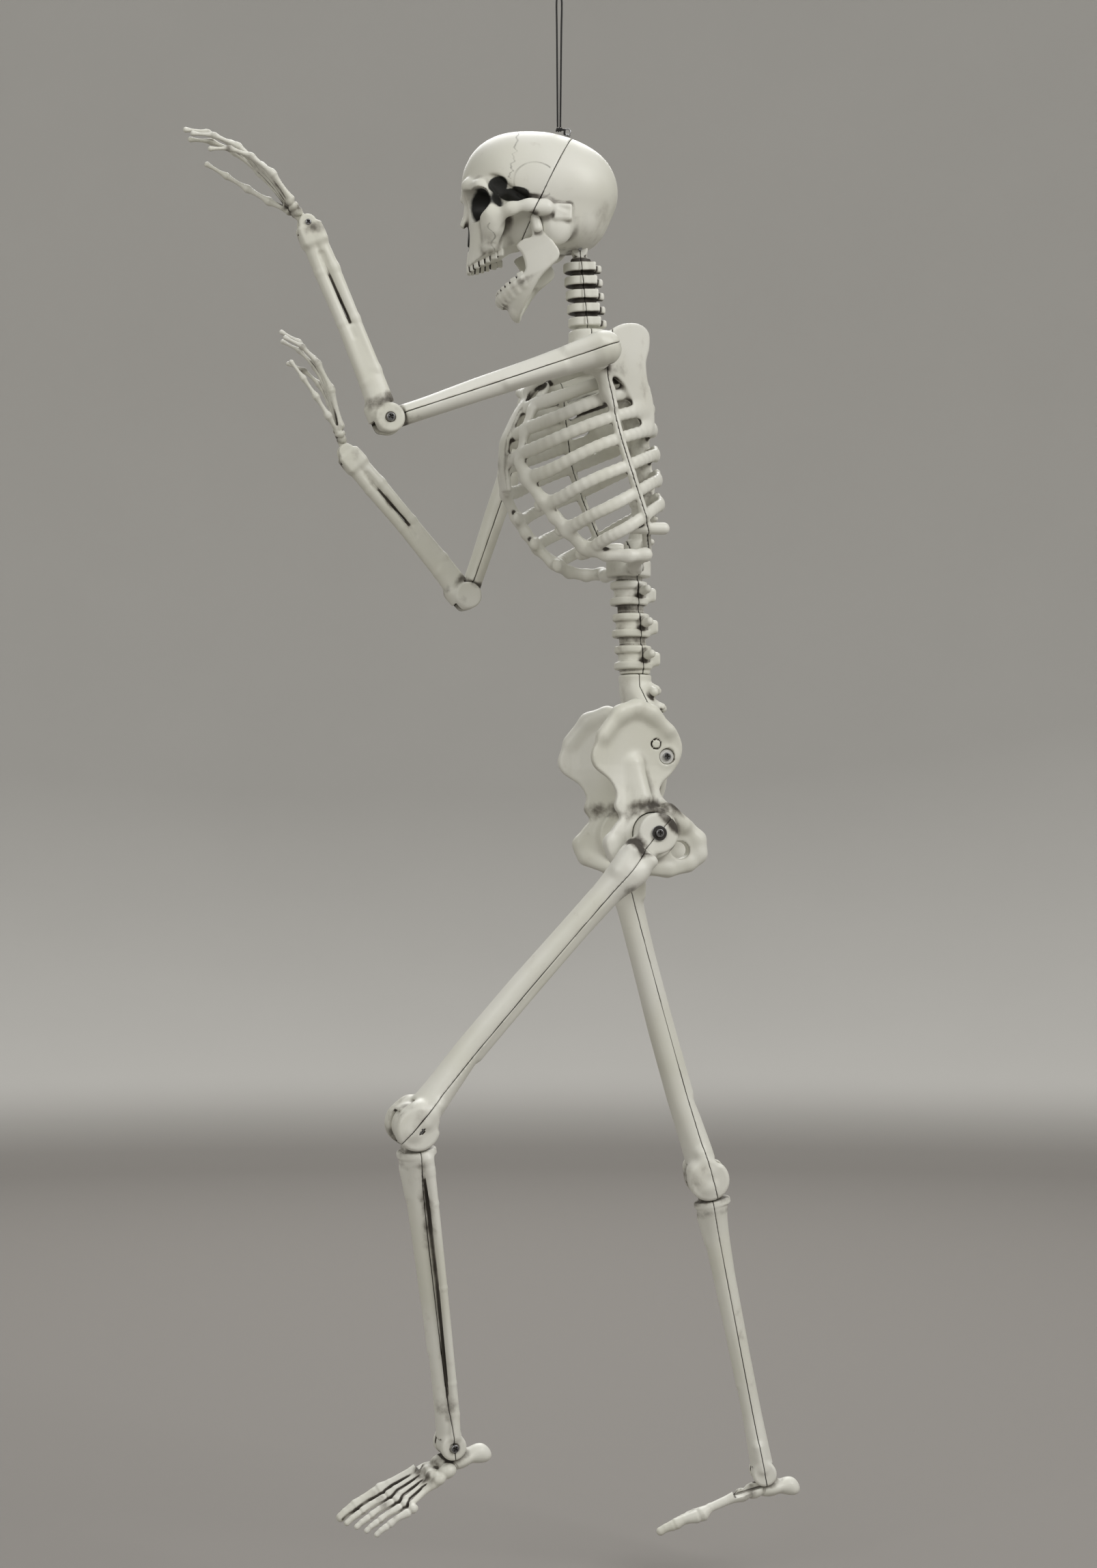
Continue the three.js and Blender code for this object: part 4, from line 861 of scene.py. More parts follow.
head = places["head"]
SOCKET_INK = [((s * 30, -102, 41), (25, 19, 17), 1.0) for s in (-1, 1)]
NOSE_INK = [((s * 4, -118, 10), (7.5, 7.5, 13), 0.95) for s in (-1, 1)]
TEMPLE_INK = [((s * 52, -90, 58), (18, 10, 9), 0.9) for s in (-1, 1)]
TEMPLE_INK += [((s * 52, -73, 48.5), (18, 16, 6.5), 0.95) for s in (-1, 1)]
SKULL_STAINS = [((s * 34, -98, 0), (16, 4, 14), 0.42) for s in (-1, 1)]
SKULL_STAINS += [((s * 56, -53, 27), (9, 8, 5), 0.55) for s in (-1, 1)]
SKULL_STAINS += [((0, -12, -3), (30, 22, 5), 0.5)]
SKULL_STAINS += [((s * 55, -95, 62), (10, 8, 4), 0.45) for s in (-1, 1)]
cast(
    skull_clay(),
    [(("skull_front", "skull_back"), head, "skull", (["skull_front"], ["skull_rear"]))],
    parting=SKULL_SEAM,
    lines=(suture, temple_plate, cheek_joint),
    stains=SKULL_STAINS,
    ink=SOCKET_INK + NOSE_INK + TEMPLE_INK,
)

# %% [markdown]
# The teeth are small crowns walked off along the arch of each jaw, so their gaps stay even as
# the row turns the corner.

# %% Upper teeth
def teeth_clay(arch, low, high, height, down):
    clay = Clay(low, high, 0.6, mirrored=True)
    for (x, y, level), width in zip(arch_places(arch), arch["widths"]):
        clay.add(tooth(x, y, level, width, height, arch, down))
    return clay


cast(
    teeth_clay(UPPER_ARCH, (0, -126, -34), (34, -80, 4), 8.4, -1),
    [("upper_teeth", head, "skull", [])],
    stains=[((0, -100, -6), (40, 30, 6), 0.16)],
)

# %% [markdown]
# The jaw is a thin sheet bent to a horseshoe. Its side view is an outline and its plan is a
# curve, and the clay keeps what lies in both. It hangs by its two upper ends.

# %% Jaw
JAW_CURVE = {"reach": 51.0, "depth": 78.0, "power": 2.38}
JAW_OUTLINE = curved([
    [2.5, 13.5], [-3, 10], [-5, 2], [-8, -7], [-17, -6], [-26, -9.5], [-24, -20], [-25, -31],
    [-29, -38], [-46, -43.5], [-63, -48], [-62, -55], [-56, -62], [-55, -71], [-50.6, -78], [-42, -71],
    [-18, -52], [-2.4, -45], [7.6, -41], [12.4, -34], [10, -20], [5, -7], [5.5, 4],
])


def jaw_middle(z):
    return np.interp(z, [-78, -44], [-47, -61.5])


def jaw_sheet(x, y, z):
    share = np.abs(x) / JAW_CURVE["reach"]
    power, depth = JAW_CURVE["power"], JAW_CURVE["depth"]
    steep = depth * power / JAW_CURVE["reach"] * share ** (power - 1)
    half = np.interp(z, [-78, -50, -20, 10], [4.2, 3.6, 2.4, 2.6])
    face = np.abs(y - jaw_middle(z) - depth * share**power) / np.sqrt(1 + steep * steep) - half + 2
    side = outline_distance(JAW_OUTLINE, y, z) + 2
    outside = np.sqrt(np.maximum(face, 0) ** 2 + np.maximum(side, 0) ** 2)
    return outside + np.minimum(np.maximum(face, side), 0) - 2


def lower_gum(y):
    return -50.5 + 0.256 * (y + 65)


LOWER_ARCH = {
    "front": -61.5, "half": 36, "back": 34, "square": 2.38, "level": lower_gum,
    "widths": (5.4, 5.9, 6.8, 7.0, 7.2, 9.6, 9.2),
}


def jaw_clay():
    clay = Clay((0, -70, -84), (60, 20, 20), 0.9, mirrored=True)
    clay.add(((0, -70, -80), (56, 14, 15), jaw_sheet))
    clay.add(rod((51, 0, -2), (51.5, 2, 9), 5, 4.4, (1, 0, 0), 1.3), 4)
    clay.add(ball((0, -51, -71), (13, 5, 8)), 6)
    places_on_row = arch_places(LOWER_ARCH)
    ridge = [[x, y, level - 2, 3.6] for x, y, level in places_on_row]
    clay.add_all(chain(ridge), 3)
    for x, y, level in places_on_row:
        clay.add(rod((x, y - 0.6, level - 1), (x, y + 0.4, level - 9), 2.3, 1.3), 5)
    return clay


jaw_frame = places["jaw"]
cast(
    jaw_clay(),
    [("jaw", jaw_frame, "jaw", ["jaw"])],
    stains=[((s * 30, -44, -46), (32, 26, 4), 0.34) for s in (-1, 1)],
)
cast(
    teeth_clay(LOWER_ARCH, (0, -70, -60), (44, -20, -26), 7.6, 1),
    [("lower_teeth", jaw_frame, "jaw", [])],
    stains=[((0, -48, -48), (46, 28, 5), 0.16)],
)

# %% [markdown]
# Five nut-shaped vertebrae on one thick core make the neck. It is one moulding in two halves,
# so the dark bands between the rings are only deep grooves full of wash.

# %% Neck
NECK_HEIGHT = 86.0
NECK_LEAN = 8.0


def neck_middle(z):
    return -z / NECK_HEIGHT * NECK_LEAN


def neck_clay():
    clay = Clay((0, -26, -99), (26, 38, 10), 0.9, mirrored=True)
    clay.add(loft([[0, 1, -8, 10.5, 11], [0, 8, -86, 11.5, 11.5]]))
    clay.add(disc(0, (0, 0, 0), 8.4, 9.0))
    clay.add(rod((0, 0, 0), (0, 1, -14), 7.5), 2)
    for number in range(5):
        z = -19.2 - 14.8 * number
        y = neck_middle(z)
        clay.add(disc(2, (0, y - 3.5, z), 16, 4.8, 1.6), 0.5)
        clay.add(box((6, y - 3, z - 4.9), (18, y + 15, z + 4.9), 2), 1)
        clay.add(box((-5, y + 8, z - 5), (5, y + 22, z + 3.5), 3), 3)
        clay.cut(ball((9, y + 25, z - 1), (5, 7, 9)), 3)
        clay.cut(rod((21, y - 8, z - 6), (21, y - 8, z + 6), 3.6), 0.8)
        clay.cut(rod((22, y + 6, z - 6), (22, y + 6, z + 6), 4.4), 0.8)
    clay.add(disc(2, (0, 8, -91), 8, 7))
    return clay


NECK_SEAM = [[0, 12], [0, 0], [0.5, -12], [NECK_LEAN, -NECK_HEIGHT], [NECK_LEAN, -100]]
cast(
    neck_clay(),
    [(("neck_front", "neck_back"), head, "neck", (["neck_front"], ["neck_rear"]))],
    parting=NECK_SEAM,
    stains=[((0, neck_middle(z), z), (30, 30, 2.9), 1.0) for z in (-11.8, -26.6, -41.4, -56.2, -71)],
)

# %% [markdown]
# The chest is a cage of flat bars bent round an oval. Each rib follows its own levels from the
# breastbone round to the spine, and the cage's outline at that level says how far out it lies.
# A ridge runs down each side, and the line where the front moulding meets the back splits it.

# %% Chest outline and ribs
CHEST_LEVELS = [-20, -58, -95, -138, -183, -229, -262]
CHEST_HALF = [49, 84, 105, 115, 117, 111, 94]
CHEST_FRONT = [-24, -52, -78, -92, -88, -58, -16]
CHEST_BACK = [36, 62, 70, 74, 78, 83, 78]
CHEST_SEAM = [[0, 20], [0, -26], [-15, -42], [-8, -60], [0, -90], [8, -131], [21, -170], [37, -212],
              [51, -250], [53, -300]]
RIB_ANGLES = [8, 45, 92, 135, 172]
RIB_LEVELS = [
    [-62, -58, -44, -38, -34],
    [-90, -87, -68, -56, -50],
    [-119, -112, -88, -74, -66],
    [-147, -138, -112, -95, -86],
    [-170, -168, -138, -118, -108],
    [-198, -198, -170, -146, -134],
    [-224, -225, -202, -174, -160],
    [-250, -248, -228, -200, -186],
]


def on_chest(angle, z, sink=0.0):
    """A place on the cage, by angle from the breastbone round to the spine."""
    half, front, back = (
        float(flowing(z, CHEST_LEVELS, line, 8)) for line in (CHEST_HALF, CHEST_FRONT, CHEST_BACK)
    )
    a = math.radians(angle)
    deep = (back - front) / 2
    return [(half - sink) * math.sin(a), (back + front) / 2 - (deep - sink) * math.cos(a), z]


def out_at(y, z, sink=0.0):
    """A place on the cage's side, by its depth and level."""
    half, front, back = (
        float(flowing(z, CHEST_LEVELS, line, 8)) for line in (CHEST_HALF, CHEST_FRONT, CHEST_BACK)
    )
    share = (y - (front + back) / 2) / ((back - front) / 2)
    return [(half - sink) * math.sqrt(max(1 - share * share, 0.05)), y, z]


MARGIN = [
    [-84, -152], [-78, -172], [-64, -195], [-52, -212], [-38, -228], [-22, -243], [0, -252], [22, -254],
    [40, -252],
]


def margin_level(y):
    return float(np.interp(y, [p[0] for p in MARGIN], [p[1] for p in MARGIN]))


def rib(levels, thick=6.0):
    stations = []
    for angle in range(6, 178, 6):
        z = float(flowing(angle, RIB_ANGLES, levels, 9))
        x, y, z = on_chest(angle, z, 3.2)
        if angle > 70 or z > margin_level(y) - 5:
            wide = thick + 1.2 * math.exp(-((angle - 30) / 30) ** 2) + 1.5 * (angle > 150)
            stations.append([x, y, z, wide])
    shapes = []
    for a, b in zip(stations, stations[1:]):
        out = np.array([a[0] / 1.1, a[1] - 5, 0.0])
        out /= np.linalg.norm(out)
        shapes.append(rod(a[:3], b[:3], a[3], b[3], out, 1.75))
    return shapes


SHOULDER = pivot("left_shoulder_lift") - pivot("neck_turn")
SPINE = [[2, -18], [34, -60], [57, -109], [63, -170], [58, -226], [46, -262]]


def chest_clay():
    clay = Clay((0, -100, -270), (136, 96, 4), 1.5, mirrored=True)
    for levels in RIB_LEVELS:
        clay.add_all(rib(levels), 2.5)
    # webs that close the slots at the front, and the breastbone
    clay.add(loft([
        [0, -58, -64, 17, 5], [0, -76, -92, 13, 5.5], [0, -90, -122, 15, 5.5], [0, -92, -150, 14, 5.5],
        [0, -88, -178, 10, 5],
    ], 5, 2), 5)
    web = [[*on_chest(22, z, 3), 6.5] for z in (-70, -96, -122, -148, -166)]
    clay.add_all(chain(web, (0.3, -0.95, 0), 1.6), 4)
    clay.add_all(chain([[*out_at(y, z, 3.2), 6.5] for y, z in MARGIN], (0.8, -0.5, 0), 1.5), 5)
    lowest_bar = [[*out_at(40, -252, 3), 6], [62, 36, -258, 6], [34, 46, -258, 7], [8, 46, -256, 8]]
    clay.add_all(chain(lowest_bar), 6)
    # collar, collarbones and the top of the chest
    clay.add(disc(2, (0, 2, -11), 22, 10, 4), 3)
    clay.add(loft([[0, 8, -14, 22, 20], [0, 22, -34, 20, 16], [0, 38, -60, 16, 12]], 8, 3), 6)
    clay.add_all(chain([[12, -12, -20, 6], [15, -38, -44, 5.5], [10, -60, -66, 6]]), 5)
    collarbone = [[8, -66, -70, 6.5], [46, -62, -62, 5.4], [84, -44, -52, 5.6], [104, -26, -50, 8]]
    clay.add_all(chain(collarbone), 5)
    clay.add_all(chain([[16, 8, -18, 8], [54, 12, -26, 9], [92, -2, -38, 11]], (0, 0.3, 1), 1.2), 9)
    clay.add(disc(0, (116, SHOULDER.y, SHOULDER.z), 17, 17.5, 3), 5)
    clay.add_all(chain([[110, -12, -62, 9], [106, -4, -84, 7], [108, 2, -100, 5]], (1, 0, 0), 1.4), 7)
    # shoulder blade: a smooth plate lying over the back of the cage
    scapula = curved([
        [-22, -34], [-4, -22], [14, -12], [34, -9], [47, -16], [48, -32], [44, -48], [46, -66], [53, -86],
        [55, -112], [44, -122], [30, -100], [14, -76], [-6, -64], [-20, -54],
    ])
    clay.add(blade(scapula, lambda y, z: 107 - 0.62 * y + 0.03 * (z + 50), 4.5, (60, 136), 3, 0.85), 8)
    # the ridge along the side
    ridge = [[*out_at(y, z, 1.5), 4.6] for y, z in CHEST_SEAM[3:-1]]
    ridge[-1][0] = 62
    clay.add_all(chain(ridge), 2)
    # spine inside the back half
    clay.add_all(chain([[0, y, z, 11] for y, z in SPINE]), 4)
    for number in range(8):
        z = -58 - 25 * number
        y = float(np.interp(-z, [-p[1] for p in SPINE], [p[0] for p in SPINE]))
        clay.add(disc(2, (0, y - 1, z), 13.5, 7, 3), 2)
        clay.add(rod((0, y + 4, z + 4), (0, y + 11, z - 3), 4, 3.2), 6)
        clay.add(rod((8, y + 6, z), (26, y + 9, z + 3), 4, 3.5), 4)
    # the ring that takes the lower spine
    clay.add(disc(2, (0, 46, -257), 24, 9, 2), 3)
    clay.cut(disc(2, (0, 46, -268), 10, 8, 0.5), 0)
    # the seat of the screw that holds the two halves together
    clay.add(rod((92, 24, -224), (92, 60, -224), 6.5), 3)
    # the shoulder's socket
    clay.cut(disc(0, (132, SHOULDER.y, SHOULDER.z), 9, 22, 0.5), 0)
    return clay


chest = places["chest"]
chest_mirror = chest @ Matrix.Scale(-1, 4, (1, 0, 0))
cast(
    chest_clay(),
    [(("ribcage_front", "ribcage_back"), chest, "torso", (["ribcage_front"], ["ribcage_rear"]))],
    parting=CHEST_SEAM,
    stains=[((s * 112, -8, -60), (26, 22, 8), 0.5) for s in (-1, 1)] + [((0, 30, -120), (40, 60, 120), 0.3)],
)

# %% [markdown]
# Three big vertebrae with narrow waists carry the chest on the hips.

# %% Lower spine
LUMBAR_HEIGHT = 105.0
LUMBAR_LEAN = 7.0
lumbar_place = standing(pivot("waist_turn") + Vector((0, -LUMBAR_LEAN, LUMBAR_HEIGHT)), ACROSS, UP)


def lumbar_clay():
    clay = Clay((0, -26, -108), (38, 46, 16), 1.0, mirrored=True)
    clay.add(loft([[0, 0, 8, 15, 14], [0, 3, -50, 15, 14], [0, 7, -104.4, 15.5, 14.5]], 4, 1))
    pitch = 34.6
    for number in range(3):
        top = -5 - pitch * number
        y = LUMBAR_LEAN * -(top - 13) / LUMBAR_HEIGHT
        clay.add(disc(2, (0, y - 1, top - 4), 20, 4, 2.2), 1)
        clay.add(disc(2, (0, y - 1, top - 21.5), 20.5, 4, 2.2), 1)
        clay.add(loft([[0, y - 1, top - 2, 18.5, 17], [0, y - 1, top - 12, 16.5, 15.5],
                       [0, y - 1, top - 24, 18.5, 17]], 3, 1), 3)
        clay.add(box((-7, y + 8, top - 22), (7, y + 22, top - 6), 3), 3)
        clay.add(box((-6, y + 12, top - 21), (6, y + 29, top - 6), 4), 4)
        clay.add(rod((12, y + 8, top - 11), (30, y + 12, top - 10), 5.5, 4, (0, 0, 1), 0.9), 4)
    clay.add(disc(2, (0, 7, -101.5), 16.5, 3, 1), 1)
    return clay


LUMBAR_SEAM = [[6, 20], [6, 12], [6, -20], [LUMBAR_LEAN + 5, -100], [LUMBAR_LEAN + 5, -120]]
cast(
    lumbar_clay(),
    [(("lumbar_front", "lumbar_back"), lumbar_place, "torso", (["lumbar_front"], ["lumbar_rear"]))],
    parting=LUMBAR_SEAM,
    stains=[((0, 4, z), (30, 30, 4), 0.5) for z in (-0.5, -34.5, -69)],
)

# %% [markdown]
# The pelvis is three mouldings: the sacrum in the middle and a hip bone on each side. A hip
# bone is a bent blade with a thick rim, a round cup for the thigh and a hole low at the back.
# The rim and the sitting bones are bars laid along the blade's edge.

# %% Pelvis
HIP = pivot("left_hip") - pivot("waist_turn")
BLADE_SLOPE = 0.28
CUP_RADIUS = 27.5
HIP_SPAN = 2 * HIP.x
BLADE_X = HIP_SPAN / 2 - 47 + BLADE_SLOPE * 22 + 4
SACRUM_SCREW = Vector((0, 21, -90))
PLUG = Vector((0, 8, -77))


def blade_middle(y, z):
    bowl = 3.5 * (np.clip((y + 14) / 40, -1, 1) ** 2 - 1) * np.clip((z + 150) / 40, 0, 1)
    flare = 0.10 * np.clip(z + 100, 0, 60)
    return BLADE_X - BLADE_SLOPE * y + bowl + flare


def blade_half(y, z):
    rim = np.clip((np.hypot((y + 12) / 52, (z + 92) / 52) - 0.72) / 0.3, 0, 1)
    return 3.2 + 1.6 * rim + 2.0 * np.clip((-150 - z) / 20, 0, 1)


HIP_OUTLINE = curved([
    [-16, -35], [2, -40], [20, -57], [33, -65], [39, -80], [36, -95], [27, -108], [16, -119], [14, -129],
    [27, -146], [45, -162], [60, -176], [64, -192], [54, -206], [22, -216], [-18, -211], [-42, -201],
    [-51, -182], [-41, -165], [-34, -155], [-40, -144], [-38, -130], [-46, -116], [-63, -103], [-67, -88],
    [-56, -66], [-37, -43],
])


def hip_bone_clay():
    clay = Clay((24, -74, -226), (100, 72, -28), 1.3)
    clay.add(blade(HIP_OUTLINE, blade_middle, blade_half, (30, 90), 3, 0.96))
    crest = [[-55, -66], [-36, -43], [-16, -36], [2, -42], [20, -58]]
    clay.add_all(chain([[float(blade_middle(y, z)) + 0.5, y + 1, z - 3, 5] for y, z in crest]), 12)
    sit = [[46, -165], [57, -178], [58, -193], [46, -203], [22, -210], [-14, -206], [-38, -196], [-45, -181]]
    radii = [8, 9.5, 9.5, 8, 6.5, 6.5, 7, 7]
    clay.add_all(chain([[float(blade_middle(y, z)), y, z, r] for (y, z), r in zip(sit, radii)]), 6)
    clay.add_all(chain([[61, 20, -148, 9], [52, 38, -162, 9]]), 8)
    # the buttress over the cup and the cup itself
    cup_x = (HIP_SPAN / 2 - 44 + HIP_SPAN / 2 - 20) / 2
    clay.add_all(chain([[62, -16, -100, 6], [66, -10, -135, 10]], (1, 0, 0), 1.3), 14)
    clay.add(disc(0, (cup_x, HIP.y, HIP.z), CUP_RADIUS, 12.5, 3), 7)
    clay.cut(disc(0, (HIP_SPAN / 2 + 2, HIP.y, HIP.z), 22.6, 40, 0.5), 1)
    clay.cut(box((HIP_SPAN / 2 - 24, HIP.y - 23, HIP.z - 90), (120, HIP.y + 23, HIP.z - 6), 5), 3)
    clay.cut(ball((float(blade_middle(36, -189)), 35, -189), (30, 11, 9)), 3)
    # seat of the screw and its washer, and the round plug over it
    clay.add(disc(0, (47, SACRUM_SCREW.y, SACRUM_SCREW.z), 11, 5.5, 2), 6)
    clay.cut(disc(0, (60, SACRUM_SCREW.y, SACRUM_SCREW.z), 8.6, 9.7, 0.5), 0.6)
    plug_x = float(blade_middle(PLUG.y, PLUG.z) + blade_half(PLUG.y, PLUG.z))
    clay.cut(disc(0, (plug_x + 1, PLUG.y, PLUG.z), 5.8, 3, 0.5), 0.5)
    clay.add(disc(0, (plug_x - 2, PLUG.y, PLUG.z), 4.6, 3, 0.9), 0)
    return clay


def sides_of(name, body, frame_name, node=None):
    """A target on each side for a bone that is one moulding."""
    return [
        (name.replace("SIDE", label), places[frame_name.replace("SIDE", label)],
         body.replace("SIDE", label), [(node or name).replace("SIDE", label)])
        for label in SIDES
    ]


def halves_of(bone_name, body, frame_name):
    """Two targets, for a bone that is moulded in front and rear halves."""
    targets = []
    for label in SIDES:
        moved = body.replace("SIDE", label)
        whole = f"{label}_{bone_name}"
        targets.append((
            (whole + "_front", whole + "_back"), places[frame_name.replace("SIDE", label)], moved,
            ([whole + "_front"], [whole + "_rear"]),
        ))
    return targets


pelvis_place = places["pelvis"]
pelvis_mirror = pelvis_place @ Matrix.Scale(-1, 4, (1, 0, 0))
hip_bones = [
    ("hip_bone_left", pelvis_place, "pelvis", ["hip_bone_left"]),
    ("hip_bone_right", pelvis_mirror, "pelvis", ["hip_bone_right"]),
]
cast(hip_bone_clay(), hip_bones, stains=[
    ((66, 30, -138), (26, 18, 15), 0.7), ((62, 0, -146), (20, 36, 12), 0.6), ((50, 8, -77), (5, 7, 7), 0.3),
])


def sacrum_clay():
    clay = Clay((0, -24, -138), (44, 48, 2), 1.1, mirrored=True)
    clay.add(loft([
        [0, 0, -0.5, 19.5, 18], [0, 0, -10, 18.5, 17], [0, 2, -22, 26, 18], [0, 8, -44, 38, 18],
        [0, 16, -76, 38, 15], [0, 22, -100, 29, 12], [0, 25, -120, 15, 9], [0, 24, -134, 7, 6],
    ], 5, 2))
    clay.add(rod((10, 10, -16), (27, 14, -20), 6, 5), 5)
    for z, y in ((-14, 24), (-33, 30), (-52, 34), (-70, 37), (-86, 39)):
        clay.add(rod((0, y - 12, z + 2), (0, y + 1, z - 3), 5.5, 4.4), 5)
        clay.add(rod((13, y - 10, z), (15, y - 4, z - 2), 4.5, 4), 5)
    for z, y in ((-42, 24), (-60, 29), (-77, 32)):
        clay.cut(ball((15, y + 2, z), (3.6, 7, 3.6)), 3)
        clay.cut(ball((16, y - 32, z), (4, 6, 4)), 3)
    clay.add(disc(0, (33, SACRUM_SCREW.y, SACRUM_SCREW.z), 11, 8, 2), 4)
    return clay


SACRUM_SEAM = [[0, 10], [0, 0], [0, -14], [12, -50], [21, -80], [24, -100], [24, -150]]
cast(
    sacrum_clay(),
    [(("sacrum_front", "sacrum_back"), pelvis_place, "pelvis", (["sacrum_front"], ["sacrum_rear"]))],
    parting=SACRUM_SEAM,
)

# %% [markdown]
# The long bones are lofts: oval sections stacked down the bone, thick at the ends and thin in
# the middle. Knobs, ridges and the joint's discs are blended on, then the slots are cut where
# the next bone's tongue turns.

# %% Thigh bones
TOE_OUT = math.degrees(math.asin(hinge_axis("left_knee").dot(places["left_thigh"].col[1].to_3d())))
KNEE = places["left_thigh"].inverted() @ pivot("left_knee")
KNEE_RADIUS, KNEE_SLOT, KNEE_OUTER, KNEE_TONGUE = 23.0, 9.5, 25.0, 20.0


def twisted(shape, centre=KNEE, degrees=TOE_OUT):
    """A shape drawn about a hinge, put in the frame of the bone above it."""
    low, high, distance = shape
    c, s = math.cos(math.radians(degrees)), math.sin(math.radians(degrees))
    reach = float(np.abs(np.concatenate([low, high])).max()) * 1.2

    def placed(x, y, z):
        u, v = x - centre.x, y - centre.y
        return distance(u * c + v * s, v * c - u * s, z - centre.z)

    middle = np.array(centre)
    return (np.array([middle[0] - reach, middle[1] - reach, middle[2] + low[2]]),
            np.array([middle[0] + reach, middle[1] + reach, middle[2] + high[2]]), placed)


def femur_clay():
    drop = KNEE.z
    clay = Clay((-40, -34, drop - 26), (44, 34, 26), 1.25)
    clay.add(loft([
        [-9, 0, -22, 12, 17], [-2, 0, -34, 18, 20], [8, 1, -46, 19, 21.5], [9, 0, -60, 18, 19],
        [8, -2, -80, 14, 15],
        [8, -5, -140, 12, 13], [9, -7, -218, 12, 13], [10, -6, -300, 13.5, 14],
        [11.5, -2, drop + 46, 19, 16], [12, 0, drop + 20, 24, 18],
    ], 8, 3))
    clay.add(disc(0, ((-37.5 + 4) / 2, 0, 0), 21.5, (37.5 + 4) / 2, 3.5), 6)
    clay.add_all(chain([[-12, 0, -10, 15], [3, 0, -42, 15]], (1, 0, 0), 1.25), 6)
    clay.add(rod((16, -12, -36), (18, -10, -60), 8, 6), 8)
    clay.add(rod((14, 10, -30), (16, 10, -62), 8, 5), 7)
    clay.add(rod((-4, 14, -58), (0, 12, -72), 6, 4), 7)
    clay.add(rod((9, 6, -80), (10, 6, -300), 4.5, 4.5), 6)
    clay.cut(box((4.2, -40, -23), (60, 40, 40), 1), 3)
    clay.add(twisted(disc(0, (0, 0, 0), KNEE_RADIUS, KNEE_OUTER, 4)), 6)
    clay.add(twisted(rod((-17, -10, 14), (-17, -4, -6), 11, 12)), 6)
    clay.add(twisted(rod((17, -10, 14), (17, -4, -6), 11, 12)), 6)
    clay.add(twisted(rod((20, 0, 30), (22, 2, 10), 5, 5)), 8)
    clay.add(twisted(rod((-20, 0, 30), (-22, 2, 10), 5, 5)), 8)
    clay.cut(twisted(box((-40, 15, 14), (40, 60, 66), 3)), 5)
    clay.cut(twisted(box((-KNEE_SLOT, -40, -46), (KNEE_SLOT, 40, 1), 1)), 1.5)
    clay.cut(twisted(disc(0, (0, 0, 0), KNEE_TONGUE + 1.2, KNEE_SLOT, 0.5)), 0)
    clay.cut(twisted(box((-KNEE_SLOT, 6, -4), (KNEE_SLOT, 60, 27), 2)), 1.5)
    clay.cut(twisted(disc(0, (KNEE_OUTER, 0, 0), 5.4, 1.4, 0.4)), 0.4)
    return clay


LONG_SEAM = [[0, 40], [0, -500]]


femur_stains = [
    ((4, 0, 18), (26, 26, 7), 0.6), ((8, -12, -26), (22, 16, 9), 0.75), ((12, 14, -70), (20, 12, 12), 0.45),
    ((12, 0, KNEE.z - 20), (20, 24, 9), 0.5), ((12, -20, KNEE.z + 6), (22, 8, 18), 0.4),
    ((12, 18, KNEE.z + 22), (24, 8, 14), 0.42),
]
cast(femur_clay(), halves_of("femur", "SIDE_thigh", "SIDE_thigh"), parting=LONG_SEAM, stains=femur_stains)

# %% Shin bones
ANKLE_RADIUS, ANKLE_SLOT, ANKLE_OUTER, ANKLE_TONGUE = 13.5, 9.5, 17.0, 12.5


def shin_clay():
    drop = -shin_length
    clay = Clay((-28, -26, drop - 18), (30, 26, 24), 1.1)
    clay.add(loft([
        [0, 0, -26, 21, 17.5], [0, 0, -34, 20.5, 18], [0, -1, -44, 17, 16], [0, -1, -66, 12.5, 14],
        [-1, -1, -110, 10.5, 12], [-1, 0, drop * 0.62, 9.5, 10.5], [0, 0, drop + 62, 10.5, 11],
        [0, 0, drop + 26, 14.5, 12], [0, 0, drop + 8, 16, 12.5],
    ], 6, 2.5))
    clay.add(disc(2, (0, 1, -28.6), 20.5, 3.6, 1.6), 1.5)
    clay.add(rod((0, -12, -44), (0, -11, -70), 6, 4), 6)
    clay.add(rod((-1, -10, -60), (-2, -8, drop * 0.7), 3.4, 2.6), 5)
    clay.add(rod((16, 7, -34), (17, 8, -48), 7, 5.5), 4)
    clay.add_all(chain([
        [17, 8, -44, 5.6], [17.5, 8.5, -80, 4.6], [16.5, 8, drop * 0.5, 4.2], [14, 6.5, drop * 0.8, 4.4],
        [13, 5, drop + 34, 5.5], [14, 2, drop + 12, 6.5],
    ]), 1.6)
    clay.add(rod((-13, -1, drop + 30), (-14, -1, drop + 6), 5, 6), 6)
    clay.add(disc(0, (0, 0, drop), ANKLE_RADIUS, ANKLE_OUTER, 3), 4)
    tongue_half = KNEE_SLOT - 0.8
    clay.add(disc(0, (0, 0, 0), KNEE_TONGUE, tongue_half, 1.5), 0)
    clay.add(box((-tongue_half, -13, -34), (tongue_half, 13, 0), 1.5), 1.5)
    clay.cut(box((-ANKLE_SLOT, -40, drop - 40), (ANKLE_SLOT, 40, drop + 2.5), 1), 1.2)
    clay.cut(disc(0, (0, 0, drop), ANKLE_TONGUE + 1.4, ANKLE_SLOT, 0.5), 0)
    clay.cut(disc(0, (ANKLE_OUTER, 0, drop), 5.2, 1.2, 0.4), 0.4)
    return clay


shin_stains = [
    ((0, 0, -24), (20, 20, 6), 0.62), ((0, -2, -38), (30, 30, 5), 0.4), ((12, 2, -90), (9, 8, 70), 0.32),
    ((12, 0, -shin_length + 40), (14, 12, 20), 0.38), ((0, 0, -shin_length - 6), (12, 20, 12), 0.6),
]
cast(shin_clay(), halves_of("shin", "SIDE_shin", "SIDE_shin"), parting=[[0, 40], [0, -500]],
     stains=shin_stains)

